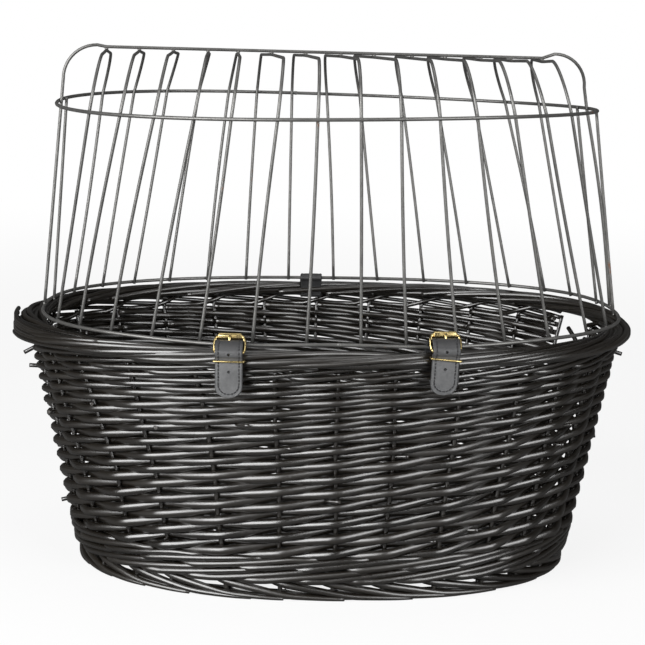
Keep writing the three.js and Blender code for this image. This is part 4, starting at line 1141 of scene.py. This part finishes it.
def ribbon(name, place, path, width, material, tip=None, lean=0.0, darkening=((0, 0.0),)):
    """Leather ribbon along a path given outwards and up, its edges rounded and a groove
    pressed under its stitches. tip rounds its far end; lean moves that end across; the last
    argument says how far it is darkened towards the edge colour at distances from that end,
    which on a free end is painted shade where it lies in the buckle."""
    path = np.asarray(path, float)
    forward = unit(np.gradient(path, axis=0))
    normal = np.stack([forward[:, 1], -forward[:, 0]], axis=1)
    steps = np.concatenate([[0], np.cumsum(np.linalg.norm(np.diff(path, axis=0), axis=1))])
    total = steps[-1]
    half = width / 2
    half_columns = [-1, -0.97, -0.91, -0.82, -0.74, -0.64, -0.3]
    half_thin = [0.35, 0.78, 1, 1, 0.72, 0.94, 1]
    columns = [*half_columns, 0, *[-c for c in reversed(half_columns)]]
    thin = [*half_thin, 1, *reversed(half_thin)]
    corners, edge = [], []
    rows = len(path)
    for i in range(rows):
        reach = half
        left = total - steps[i]
        if tip is not None and left < tip:
            share = 1 - left / tip
            reach = half * math.sqrt(max(1 - share**2.3, 0.0)) + 0.02
        sway = sway_at(lean, left)
        for side in (1, -1):
            for c, t in zip(columns, thin):
                p = path[i] + normal[i] * side * t * LEATHER / 2
                corners.append(place.at(c * reach + sway, p[0], p[1]))
                # Corners at the edges take the painted edge colour; the others are darkened by their
                # distance from the far end, which on a free end is painted shade where it lies in the
                # buckle
                edge.append(1.0 if abs(c) > 0.94 else float(np.interp(left, *zip(*darkening))))
    count = len(columns)
    faces = []
    for i in range(rows - 1):
        a, b = i * 2 * count, (i + 1) * 2 * count
        for k in range(count - 1):
            faces.append((a + k, a + k + 1, b + k + 1, b + k))
            faces.append((a + count + k + 1, a + count + k, b + count + k, b + count + k + 1))
        faces.append((a + count, a, b, b + count))
        faces.append((a + count - 1, a + 2 * count - 1, b + 2 * count - 1, b + count - 1))
    for start, flip in ((0, False), ((rows - 1) * 2 * count, True)):
        for k in range(count - 1):
            face = (start + k, start + count + k, start + count + k + 1, start + k + 1)
            faces.append(face[::-1] if flip else face)
    mesh = bpy.data.meshes.new(name)
    mesh.from_pydata(((np.array(corners) + (0, FRONT_SHIFT, 0)) * MM).tolist(), [], faces)
    layer = mesh.attributes.new("edge", "FLOAT", "POINT")
    layer.data.foreach_set("value", np.array(edge, np.float32))
    made = place_mesh(name, mesh, material)
    fix_normals(made)
    return made


def fix_normals(made):
    """Turns the faces outwards, whatever the direction the piece was built in."""
    work = bmesh.new()
    work.from_mesh(made.data)
    bmesh.ops.recalc_face_normals(work, faces=work.faces)
    work.to_mesh(made.data)
    work.free()


def cut_round(made, centre, direction, radius):
    """Punches a round hole through a piece."""
    size = {"radius": radius * MM, "depth": PUNCH_DEPTH * MM}
    bpy.ops.mesh.primitive_cylinder_add(vertices=PUNCH_SIDES, **size)
    cutter = bpy.context.object
    cutter.rotation_mode = "QUATERNION"
    cutter.rotation_quaternion = Vector(direction).to_track_quat("Z", "Y")
    cutter.location = (Vector(centre) + Vector((0, FRONT_SHIFT, 0))) * MM
    bpy.context.view_layer.update()
    tool = made.modifiers.new("hole", "BOOLEAN")
    tool.operation = "DIFFERENCE"
    tool.solver = "EXACT"
    tool.object = cutter
    graph = bpy.context.evaluated_depsgraph_get()
    cut = bpy.data.meshes.new_from_object(made.evaluated_get(graph))
    made.modifiers.clear()
    cut.set_sharp_from_angle(angle=math.radians(SHARP_DEGREES))
    made.data = cut
    bpy.data.objects.remove(cutter)


def strap_path(buckle):
    """Course of the anchor strap: from its eye down the rim's face, under it and up inside."""
    start = buckle.heel[1] - EYE_RADIUS + LEATHER / 2
    low, inner = UNDER_RIM, INSIDE_RIM
    return [
        (STRAP_FACE, start),
        (STRAP_FACE, (start + low) / 2),
        (STRAP_FACE, low + LEATHER_BEND),
        (STRAP_FACE - LEATHER_BEND, low),
        (0, low),
        (inner + LEATHER_BEND, low),
        (inner, low + LEATHER_BEND),
        (inner, TAIL_JOINT - GAP),
    ]


def tail_path(buckle):
    """Course of the free end: up inside the rim, over the hoop, behind the roller, out over
    the heel bar and down."""
    heel = buckle.heel
    over_heel = EYE_RADIUS + GAP + LEATHER / 2
    behind_roller = ROLLER[0] / 2 + GAP + LEATHER / 2
    hoop = -buckle.place.hoop_inset
    path = [
        (INSIDE_RIM, TAIL_JOINT),
        (INSIDE_RIM, OVER_FRONT - 4.8),
        (hoop - HOOP_WIRE, OVER_FRONT),
        (hoop + HOOP_WIRE, OVER_FRONT),
        buckle.side(BUCKLE_REACH - TAIL_BEHIND[0], -behind_roller - TAIL_BEHIND[1]),
        buckle.side(BUCKLE_REACH - TAIL_UNDER[0], -behind_roller - TAIL_UNDER[1]),
        buckle.side(BUCKLE_REACH - behind_roller - 0.2, 0.3),
        buckle.side(BUCKLE_REACH / 2 + 0.3, over_heel - 0.4),
    ]
    reach = over_heel + TAIL_HEEL_SLACK
    for degrees in TAIL_HEEL_DEGREES:
        a = math.radians(degrees)
        path.append((heel[0] + reach * math.cos(a), heel[1] + reach * math.sin(a)))
    path.append((TAIL_FACE + 0.2, heel[1] - over_heel - 2))
    path.append((TAIL_FACE, heel[1] - over_heel - 7))
    path.append((TAIL_FACE - 0.2, heel[1] - buckle.tail + 8))
    path.append((TAIL_FACE, heel[1] - buckle.tail))
    return path


def sway_at(lean, left):
    """How far a leaning free end lies to one side, at a distance from its tip."""
    return lean * max(LEAN_LENGTH - left, 0) / LEAN_LENGTH


def path_at(path, distance):
    """Point and direction of a path at a distance back from its end."""
    path = np.asarray(path)
    steps = np.concatenate([[0], np.cumsum(np.linalg.norm(np.diff(path, axis=0), axis=1))])
    target = steps[-1] - distance
    point = np.array([np.interp(target, steps, path[:, k]) for k in (0, 1)])
    ahead = np.array([np.interp(target + 0.2, steps, path[:, k]) for k in (0, 1)])
    return point, unit(ahead - point)


# The free end's painted shade at distances from its tip: it is painted dark where it lies in the
# buckle, in the shade of the frame and roller
TAIL_PAINTED_SHADE = ((0, 0.0), (26, 0.0), (34, 0.45), (40, 1.0))


def make_leather(settings, leather, thread):
    """The two straps, each with its eye, its free end with its holes, and its stitches."""
    for buckle in BUCKLES:
        name = buckle.name
        path = smooth_path(strap_path(buckle), 5)
        band = ribbon(f"strap_{name}_band", buckle.place, path, STRAP_WIDTH, leather)
        eye = make_eye(buckle, leather)
        join = [band, eye]
        with bpy.context.temp_override(active_object=band, selected_editable_objects=join):
            bpy.ops.object.join()
        dress(band, "basket", "leather", f"strap_{name}")
        path = smooth_path(tail_path(buckle), 8)
        # The free end is painted darker where it lies in the buckle: painted shade of the frame and
        # roller
        tail = ribbon(
            f"strap_{name}_free_end",
            buckle.place,
            path,
            STRAP_WIDTH,
            leather,
            tip=TIP_LENGTH,
            lean=buckle.tail_lean,
            darkening=TAIL_PAINTED_SHADE,
        )
        for distance in settings.holes:
            point, forward = path_at(path, distance)
            sway = sway_at(buckle.tail_lean, distance)
            centre = buckle.place.at(sway, point[0], point[1])
            normal = buckle.place.out * -forward[1] + np.array([0, 0, forward[0]])
            cut_round(tail, centre, normal, settings.hole / 2)
        dress(tail, "basket", "leather", f"strap_tail_{name}")
        squash_tail(tail, buckle)
        stitches = make_stitches(buckle, path, settings, thread)
        dress(stitches, "basket", "leather")
        squash_tail(stitches, buckle)


def squash_tail(piece, buckle):
    """Gives the piece a mesh of its own. The point before the prong, where the strap's free end
    would hang once drawn forward off the hoop as the cage opens, is worked out but not used."""
    anchor = (buckle.place.at(0, TAIL_FACE + TAIL_HANG, 0) + (0, FRONT_SHIFT, 0)) * MM
    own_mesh(piece)


def make_eye(buckle, leather):
    """Leather turned round the heel bar."""
    path = []
    middle = EYE_RADIUS - LEATHER / 2
    for degrees in np.linspace(-95, 265, 28):
        a = math.radians(degrees)
        out = buckle.heel[0] + middle * math.cos(a)
        path.append((out, buckle.heel[1] + middle * math.sin(a)))
    return ribbon(f"eye_{buckle.name}", buckle.place, path, EYE_WIDTH, leather)


# Distances from the tip between which the stitches run straight
STITCH_START = 9.5
STITCH_END = 44


def make_stitches(buckle, path, settings, material):
    """Two rows of stitches along the free end, joined round its tip."""
    bundle = Bundle(140)
    inset = settings.stitch_inset
    half = STRAP_WIDTH / 2 - inset
    pitch = settings.stitch
    spots = []
    for side in (-1, 1):
        distance = STITCH_START
        while distance < STITCH_END:
            spots.append((side * half, distance, side * half, distance + pitch * 0.66))
            distance += pitch
    steps = 9
    for k in range(steps):
        a0 = math.pi * (k + 0.1) / steps
        a1 = math.pi * (k + 0.8) / steps
        spots.append(
            (
                -half * math.cos(a0),
                STITCH_START - (STITCH_START - inset) * math.sin(a0),
                -half * math.cos(a1),
                STITCH_START - (STITCH_START - inset) * math.sin(a1),
            )
        )
    for x0, d0, x1, d1 in spots:
        row = []
        for t in (0, 0.25, 0.5, 0.75, 1):
            distance = d0 + (d1 - d0) * t
            point, forward = path_at(path, distance)
            normal = np.array([-forward[1], forward[0]])
            lift = LEATHER / 2 - 0.22 + 0.3 * math.sin(math.pi * t)
            p = point + normal * lift
            sway = sway_at(buckle.tail_lean, distance)
            row.append(buckle.place.at(x0 + (x1 - x0) * t + sway, p[0], p[1]))
        bundle.rod(row, 0.46, buckle.place.out + np.array([0, 0, 0.4]), 6)
    return bundle.piece(f"strap_{buckle.name}_stitching", material)


def make_rear_loop(leather):
    """One closed band of leather round the rim and the rear of the lower hoop."""
    place = REAR_PLACE
    hoop = -place.hoop_inset
    inner, outer = REAR_LOOP_INNER, OUTSIDE_RIM
    low, top = RIM[0] + REAR_LOOP_LIFT, OVER_HOOP + REAR_LIFT
    path = [
        (inner, low + LEATHER_BEND),
        (inner + LEATHER_BEND, low),
        (0, low - 0.2),
        (outer - LEATHER_BEND, low),
        (outer, low + LEATHER_BEND),
        (outer + 0.1, RIM_MIDDLE + 2.5),
        (outer - 1.6, RIM[1] - 0.4),
        (4, RIM[1] + 2.2),
        (hoop + HOOP_WIRE, top),
        (hoop - HOOP_WIRE / 2, top),
        (hoop - HOOP_WIRE - 1.2, top - 2.6),
        (hoop - 1.0, top - 5.2),
        (inner - 1.5, RIM_MIDDLE + 4),
        (inner, low + LEATHER_BEND),
    ]
    # The whole band is darkened most of the way to the edge colour
    made = ribbon(
        "rear_loop_band", place, smooth_path(path, 5), REAR_LOOP_WIDTH, leather, darkening=((0, 0.9),)
    )
    dress(made, "basket", "leather", "rear_loop")


def rounded_corners(points, radius, steps=6):
    """Closed outline with each corner turned on an arc."""
    points = [np.array(p, float) for p in points]
    made = []
    count = len(points)
    for i, here in enumerate(points):
        back = here + unit(points[i - 1] - here) * radius
        on = here + unit(points[(i + 1) % count] - here) * radius
        for t in np.linspace(0, 1, steps):
            made.append(back * (1 - t) ** 2 + here * 2 * t * (1 - t) + on * t * t)
    return np.array(made)


def make_buckles(settings, brass):
    """Each buckle's frame, with its roller, prong and keeper."""
    for buckle in BUCKLES:
        name = buckle.name
        half = BUCKLE_WIDTH / 2 - BUCKLE_WIRE / 2 - BUCKLE_SIDE_INSET
        heel = HEEL_WIDTH / 2
        top = ROLLER[1] / 2 + BUCKLE_SIDE_INSET
        outline = [
            (-heel, 0),
            (heel, 0),
            (half, CHAMFER_HEEL),
            (half, BUCKLE_REACH - CHAMFER_TOP),
            (top, BUCKLE_REACH),
            (-top, BUCKLE_REACH),
            (-half, BUCKLE_REACH - CHAMFER_TOP),
            (-half, CHAMFER_HEEL),
        ]
        flat = rounded_corners(outline, BUCKLE_CORNER)
        points = np.array([buckle.at(p[0], p[1], 0) for p in flat])
        plane = unit(buckle.at(0, 0, 1) - buckle.at(0, 0, 0))
        bundle = Bundle(150)
        bundle.rod(points, settings.frame / 2, plane, 12, closed=True)
        made = bundle.piece(f"buckle_frame_{name}_wire", brass)
        dress(made, f"buckle_{name}", "brass", f"buckle_frame_{name}")
        make_roller(buckle, brass)
        make_prong(buckle, brass)
        make_keeper(buckle, settings, brass)


def make_roller(buckle, brass):
    """Rolled sheet tube with its ends turned in and an open seam along the back."""
    radius, half = ROLLER[0] / 2, ROLLER[1] / 2
    inner = BUCKLE_WIRE / 2 + 0.25
    end = [
        (inner, half - 0.5),
        (inner + 0.3, half - 0.05),
        (radius - 0.45, half),
        (radius - 0.1, half - 0.25),
        (radius, half - 0.7),
        (radius, 3.0),
    ]
    profile = [*[(r, -s) for r, s in end], (radius, 0.0), *reversed(end)]
    sides = 32
    corners, faces = [], []
    middle = buckle.at(0, BUCKLE_REACH, 0)
    along = buckle.place.across
    first = buckle.place.out
    second = np.array([0, 0, 1.0])
    for r, s in profile:
        for k in range(sides):
            a = 2 * math.pi * k / sides
            groove = 0.22 if k == 0 and r > radius - 0.2 else 0.0
            ring = (first * math.cos(a) + second * math.sin(a)) * (r - groove)
            corners.append(middle + along * s + ring)
    rows = len(profile)
    for i in range(rows):
        i2 = (i + 1) % rows
        for k in range(sides):
            k2 = (k + 1) % sides
            faces.append((i * sides + k, i * sides + k2, i2 * sides + k2, i2 * sides + k))
    mesh = bpy.data.meshes.new("roller")
    mesh.from_pydata(((np.array(corners) + (0, FRONT_SHIFT, 0)) * MM).tolist(), [], faces)
    made = place_mesh(f"buckle_roller_{buckle.name}_tube", mesh, brass)
    fix_normals(made)
    dress(made, f"roller_{buckle.name}", "brass", f"buckle_roller_{buckle.name}")


def make_prong(buckle, brass):
    """Prong: curled round the heel bar, its flattened tip lying on the roller."""
    eye = BUCKLE_WIRE / 2 + GAP + PRONG_WIRE / 2
    rest = ROLLER[0] / 2 + GAP + PRONG_WIRE / 2
    path = []
    for degrees in np.linspace(-5, -270, 24):
        a = math.radians(degrees)
        path.append(buckle.at(0, eye * math.cos(a), eye * math.sin(a)))
    path.append(buckle.at(0, BUCKLE_REACH * 0.45, (eye + rest) / 2 - 0.1))
    path.append(buckle.at(0, BUCKLE_REACH - ROLLER[0] / 2, rest - 0.25))
    path.append(buckle.at(0, BUCKLE_REACH - 0.4, rest - 0.5))
    path.append(buckle.at(0, BUCKLE_REACH + 0.2, rest - 0.6))
    points = smooth_path(path, 3)
    t = np.linspace(0, 1, len(points))
    radii = PRONG_WIRE / 2 * np.interp(t, [0, 0.6, 0.8, 0.97, 1], [1, 1, 1.05, 0.95, 0.7])
    flatten = np.interp(t, [0, 0.6, 0.8, 1], [1, 1, 0.55, 0.5])
    bundle = Bundle(160)
    bundle.rod(points, radii, buckle.place.across, 12, flatten=flatten)
    made = bundle.piece(f"buckle_prong_{buckle.name}_wire", brass)
    dress(made, f"prong_{buckle.name}", "brass", f"buckle_prong_{buckle.name}")


def make_keeper(buckle, settings, brass):
    """Thin wire ring round the strap and its free end."""
    half = STRAP_WIDTH / 2 + GAP + KEEPER_WIRE / 2
    front = TAIL_FACE + LEATHER / 2 + GAP + KEEPER_WIRE / 2
    rear = STRAP_FACE - LEATHER / 2 - GAP - KEEPER_WIRE / 2
    slope = math.tan(math.radians(buckle.keeper_tilt))
    outline = [(-half, front), (half, front), (half, rear), (-half, rear)]
    flat = rounded_corners(outline, KEEPER_CORNER)
    height = buckle.heel[1] - buckle.keeper_drop
    points = np.array([buckle.place.at(p[0], p[1], height - p[0] * slope) for p in flat])
    bundle = Bundle(170)
    bundle.rod(points, settings.keeper / 2, (0, 0, 1), 10, closed=True)
    made = bundle.piece(f"strap_keeper_{buckle.name}_ring", brass)
    dress(made, f"keeper_{buckle.name}", "brass", f"strap_keeper_{buckle.name}")


# Settings


def length(name, description, value):
    return FloatProperty(name=name, description=description, default=value, min=0.1)


def tint(name, description, rgb):
    return FloatVectorProperty(
        name=name, description=description, default=rgb, size=3, subtype="COLOR", min=0, max=1
    )


def share(name, description, value):
    return FloatProperty(name=name, description=description, default=value, subtype="FACTOR")


class BasketWillow(bpy.types.PropertyGroup):
    """Sizes and colours of the willow, in millimetres."""

    butt: length("Butt", "Thickness of the side's rods at the foot, in mm", 7.3)
    tip: length("Tip", "Thickness of the side's rods under the rim, in mm", 5.6)
    stake: length("Stake", "Thickness of the upright stakes, in mm", 4.1)
    wale: length("Wale rod", "Thickness of the lower wale's rods, in mm", 5.2)
    rim_rod: length("Rim rod", "Thickness of the rim's rods, in mm", 5.7)
    rim_drop: length("Rim drop", "How far the rim's top lies under its full height, in mm", 2.2)
    rim_lift: length("Rim lift", "How far the rim's rods lie above the border's foot, in mm", 6.6)
    foot_rod: length("Foot rod", "Thickness of the foot's rods, in mm", 6.3)
    rim_reach: length("Rim reach", "Stakes that each rim rod passes", 6.6)
    foot_reach: length("Foot reach", "Stakes that each foot rod passes", 2.75)
    squeeze: share("Squeeze", "Depth of a woven rod as a share of its height", 0.80)
    rim_rods: IntProperty(name="Rim rods", description="Rim rods at each stake", default=1, min=1)
    sides: IntProperty(name="Sides", description="Sides of a rod's section", default=8, min=5)
    dark: tint("Dark", "Stain in the bark's hollows", (0.0026, 0.0015, 0.0005))
    light: tint("Light", "Stain on the high bark", (0.0090, 0.0061, 0.0027))
    cut_end: tint("Cut end", "Wood of a cut end", (0.045, 0.038, 0.032))
    roughness: share("Roughness", "Roughness of the stained bark", 0.18)


class BasketWire(bpy.types.PropertyGroup):
    """Sizes and colours of the cage."""

    hoop: length("Hoop wire", "Thickness of the two hoops, in mm", 2.8)
    arch: length("Arch wire", "Thickness of the arches and bars, in mm", 2.5)
    dark: tint("Dark", "Lacquer", (0.075, 0.074, 0.071))
    light: tint("Light", "Worn lacquer", (0.22, 0.217, 0.209))
    rust: tint("Rust", "Rust spots", (0.16, 0.06, 0.022))
    roughness: share("Roughness", "Roughness of the lacquer", 0.24)


class BasketLeather(bpy.types.PropertyGroup):
    """Sizes and colours of the straps."""

    stitch: length("Stitch", "Pitch of the stitches, in mm", 2.6)
    stitch_inset: length("Stitch inset", "Stitches' distance from the edge, in mm", 2.6)
    hole: length("Hole", "Diameter of the strap's holes, in mm", 2.3)
    holes: FloatVectorProperty(
        name="Holes",
        description="Distances of the holes from the tip, in mm",
        size=2,
        default=(19.1, 32.9),
    )
    dark: tint("Dark", "Leather in its hollows", (0.066, 0.067, 0.069))
    light: tint("Light", "Leather on its grain", (0.140, 0.141, 0.143))
    # The edge colour is also painted shade on the free ends where they lie in the buckle
    edge: tint("Edge", "Painted edge", (0.02, 0.02, 0.021))
    thread: tint("Thread", "Stitching thread", (0.012, 0.012, 0.013))
    roughness: share("Roughness", "Roughness of the leather", 0.38)


class BasketBrass(bpy.types.PropertyGroup):
    """Sizes and colours of the buckles."""

    frame: length("Frame wire", "Thickness of the buckle's frame, in mm", 2.3)
    keeper: length("Keeper wire", "Thickness of the ring round the strap, in mm", 1.5)
    light: tint("Light", "Bright plate", (0.76, 0.60, 0.28))
    dark: tint("Dark", "Dull plate", (0.36, 0.27, 0.10))
    roughness: share("Roughness", "Roughness of the plate", 0.22)


class BasketStage(bpy.types.PropertyGroup):
    """Light, floor and camera."""

    key: FloatProperty(name="Key", description="Power of the key lamp, in W", default=90.0)
    fill: FloatProperty(name="Fill", description="Power of the fill lamp, in W", default=42.0)
    top: FloatProperty(name="Top", description="Power of the top lamp, in W", default=9.0)
    sky: FloatProperty(name="Sky", description="Light from behind and beside", default=0.06)
    front: FloatProperty(name="Front", description="Light from the camera's side", default=0.012)
    lens: FloatProperty(name="Lens", description="Focal length, in mm", default=111.05)


# Stage

CAMERA_AT = (-69.858, -1595.725, 463.67)
CAMERA_YAW, CAMERA_PITCH, CAMERA_ROLL = (math.radians(v) for v in (2.443, 9.768, 1.018))
# Each lamp's name, place, the point that it faces and its size, in metres
LAMPS = (
    ("key", (-1.53, -1.58, 0.95), (0, 0, 0.35), (2.2, 1.9)),
    ("fill", (1.42, -1.81, 0.95), (0, 0, 0.3), (1.6, 1.8)),
    ("top", (0.1, 0.2, 2.2), (0, 0, 0.2), (1.8, 1.2)),
)


def aim(made, target):
    made.rotation_mode = "QUATERNION"
    made.rotation_quaternion = (made.location - Vector(target)).to_track_quat("Z", "Y")


def add_lamp(name, place, target, size, power):
    data = bpy.data.lights.new(name, "AREA")
    data.shape = "RECTANGLE"
    data.size, data.size_y = size
    data.energy = power
    lamp = bpy.data.objects.new(name, data)
    lamp.location = place
    lamp.visible_camera = False
    aim(lamp, target)
    bpy.context.scene.collection.objects.link(lamp)


def add_camera(settings):
    data = bpy.data.cameras.new("camera")
    data.lens = settings.lens
    data.sensor_width = 36
    data.clip_start, data.clip_end = 0.05, 50
    camera = bpy.data.objects.new("camera", data)
    cy, sy = math.cos(CAMERA_YAW), math.sin(CAMERA_YAW)
    cp, sp = math.cos(CAMERA_PITCH), math.sin(CAMERA_PITCH)
    cr, sr = math.cos(CAMERA_ROLL), math.sin(CAMERA_ROLL)
    forward = np.array([sy * cp, cy * cp, -sp])
    right = np.array([cy, -sy, 0.0])
    up = np.cross(right, forward)
    level = Matrix((cr * right + sr * up, -sr * right + cr * up, -forward)).transposed()
    camera.matrix_world = Matrix.Translation(Vector(CAMERA_AT) * MM) @ level.to_4x4()
    bpy.context.scene.collection.objects.link(camera)
    bpy.context.scene.camera = camera


def floor_material():
    """Pale floor that the camera and shiny pieces see as near white, with soft shadows."""
    s = Shade("floor")
    speckle = s.noise(s.node("ShaderNodeTexCoord", output="Object"), 300.0)
    dim = s.mix(speckle, colour((0.10, 0.10, 0.10)), colour((0.12, 0.12, 0.12)))
    rays = s.node("ShaderNodeLightPath", output="Is Camera Ray")
    s.set(Base_Color=s.mix(rays, dim, colour((0.92, 0.92, 0.92))), Roughness=0.9)
    glossy = s.node("ShaderNodeLightPath", output="Is Glossy Ray")
    through = s.node("ShaderNodeLightPath", output="Is Transmission Ray")
    glow = s.node("ShaderNodeEmission", None, {"Color": colour((1, 1, 1)), "Strength": 1.0})
    body = Value(s.tree, s.surface.outputs[0])
    here = s.node("ShaderNodeTexCoord", output="Object")
    away = s.node("ShaderNodeVectorMath", {"operation": "LENGTH"}, {0: here}, output="Value")
    spread = {"Value": away, "From Min": 0.7, "From Max": 2.6, "To Min": 0.86, "To Max": 1.0}
    white = s.node("ShaderNodeMapRange", {"interpolation_type": "SMOOTHSTEP"}, spread)
    seen = rays * white + glossy * 0.05 + through * 0.05
    joined = s.node("ShaderNodeMixShader", None, {0: seen, 1: body, 2: glow})
    s.tree.links.new(joined.socket, s.tree.nodes["Material Output"].inputs["Surface"])
    return s.material


def make_floor_plane():
    mesh = bpy.data.meshes.new("stage_floor")
    size = 70.0
    corners = [(-size, -size, 0), (size, -size, 0), (size, size, 0), (-size, size, 0)]
    mesh.from_pydata(corners, [], [(0, 1, 2, 3)])
    floor = place_mesh("stage_floor", mesh, floor_material(), smooth=False)


def make_world(settings):
    """White surroundings, bright behind and beside the basket and dim in front of it."""
    world = bpy.data.worlds.new("studio")
    bpy.context.scene.world = world
    world.use_nodes = True
    tree = world.node_tree
    sky = tree.nodes["Background"]
    sky.inputs["Color"].default_value = (1, 1, 1, 1)
    direction = tree.nodes.new("ShaderNodeTexCoord")
    parts = tree.nodes.new("ShaderNodeSeparateXYZ")
    tree.links.new(direction.outputs["Generated"], parts.inputs[0])
    rearward = Value(tree, parts.outputs["Y"])
    spread = tree.nodes.new("ShaderNodeMapRange")
    spread.interpolation_type = "SMOOTHSTEP"
    feed(tree, spread.inputs["Value"], rearward)
    feed(tree, spread.inputs["From Min"], -0.5)
    feed(tree, spread.inputs["From Max"], 0.6)
    feed(tree, spread.inputs["To Min"], settings.front)
    feed(tree, spread.inputs["To Max"], settings.sky)
    around = Value(tree, spread.outputs[0])
    seen = Value(tree, tree.nodes.new("ShaderNodeLightPath").outputs["Is Camera Ray"])
    feed(tree, sky.inputs["Strength"], around * (1 - seen) + seen)


# Operators


class BASKET_OT_stage(bpy.types.Operator):
    """Add the floor, the soft lamps and the camera"""

    bl_idname = "basket.stage"
    bl_label = "Stage"

    def execute(self, context):
        settings = context.scene.basket_stage
        add_camera(settings)
        make_world(settings)
        make_floor_plane()
        for name, place, target, size in LAMPS:
            add_lamp(name, place, target, size, getattr(settings, name))
        context.scene.view_settings.view_transform = "Standard"
        return {"FINISHED"}


class BASKET_OT_weave(bpy.types.Operator):
    """Weave the side over its stakes, with the wales below and above it"""

    bl_idname = "basket.weave"
    bl_label = "Weave"

    def execute(self, context):
        settings = context.scene.basket_willow
        willow = material_once("willow_bark", willow_material, settings)
        make_stakes(settings, willow)
        make_side(settings, willow)
        make_wales(settings, willow)
        make_stubs(willow)
        return {"FINISHED"}


class BASKET_OT_borders(bpy.types.Operator):
    """Roll the rim and foot borders and weave the floor"""

    bl_idname = "basket.borders"
    bl_label = "Borders and floor"

    def execute(self, context):
        settings = context.scene.basket_willow
        willow = material_once("willow_bark", willow_material, settings)
        make_rim(settings, willow)
        make_foot(settings, willow)
        make_floor(willow)
        return {"FINISHED"}


class BASKET_OT_cage(bpy.types.Operator):
    """Bend the hoops, arches, bars and spine of the cage"""

    bl_idname = "basket.cage"
    bl_label = "Wire cage"

    def execute(self, context):
        settings = context.scene.basket_wire
        wire = material_once("cage_wire", wire_material, settings)
        welds = Bundle(70)
        make_hoops(settings, wire, welds)
        make_arches(settings, wire, welds)
        make_end_bars(settings, wire, welds)
        make_spine(settings, wire, welds)
        dress(welds.piece("cage_welds", wire), "cage", "wire")
        return {"FINISHED"}


class BASKET_OT_leather(bpy.types.Operator):
    """Cut and stitch the two straps and the rear loop"""

    bl_idname = "basket.leather"
    bl_label = "Leather"

    def execute(self, context):
        settings = context.scene.basket_leather
        leather = material_once("strap_leather", leather_material, settings)
        thread = material_once("strap_thread", thread_material, settings)
        make_leather(settings, leather, thread)
        make_rear_loop(leather)
        return {"FINISHED"}


class BASKET_OT_buckles(bpy.types.Operator):
    """Bend the brass buckles and keepers"""

    bl_idname = "basket.buckles"
    bl_label = "Buckles"

    def execute(self, context):
        settings = context.scene.basket_brass
        make_buckles(settings, material_once("buckle_brass", brass_material, settings))
        return {"FINISHED"}


def material_once(name, maker, settings):
    """A material by its name, made when it is first asked for."""
    return bpy.data.materials.get(name) or maker(settings)


class BASKET_PT_panel(bpy.types.Panel):
    """Lists the basket's operators and settings"""

    bl_idname = "BASKET_PT_panel"
    bl_label = "Dog bicycle basket"
    bl_space_type = "VIEW_3D"
    bl_region_type = "UI"
    bl_category = "Basket"

    def draw(self, context):
        for operator in OPERATORS:
            self.layout.operator(operator.bl_idname)
        for name, group in GROUPS.items():
            box = self.layout.box()
            settings = getattr(context.scene, name)
            for key in group.__annotations__:
                box.prop(settings, key)


GROUPS = {
    "basket_willow": BasketWillow,
    "basket_wire": BasketWire,
    "basket_leather": BasketLeather,
    "basket_brass": BasketBrass,
    "basket_stage": BasketStage,
}
OPERATORS = (
    BASKET_OT_stage,
    BASKET_OT_weave,
    BASKET_OT_borders,
    BASKET_OT_cage,
    BASKET_OT_leather,
    BASKET_OT_buckles,
)


def register():
    for group in GROUPS.values():
        bpy.utils.register_class(group)
    for name, group in GROUPS.items():
        setattr(bpy.types.Scene, name, PointerProperty(type=group))
    for operator in OPERATORS:
        bpy.utils.register_class(operator)
    bpy.utils.register_class(BASKET_PT_panel)


def unregister():
    bpy.utils.unregister_class(BASKET_PT_panel)
    for operator in reversed(OPERATORS):
        bpy.utils.unregister_class(operator)
    for name, group in GROUPS.items():
        delattr(bpy.types.Scene, name)
        bpy.utils.unregister_class(group)


def main():
    register()
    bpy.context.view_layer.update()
    bpy.ops.basket.stage()
    bpy.ops.basket.weave()
    bpy.ops.basket.borders()
    bpy.ops.basket.cage()
    bpy.ops.basket.leather()
    bpy.ops.basket.buckles()


if __name__ == "__main__":
    main()
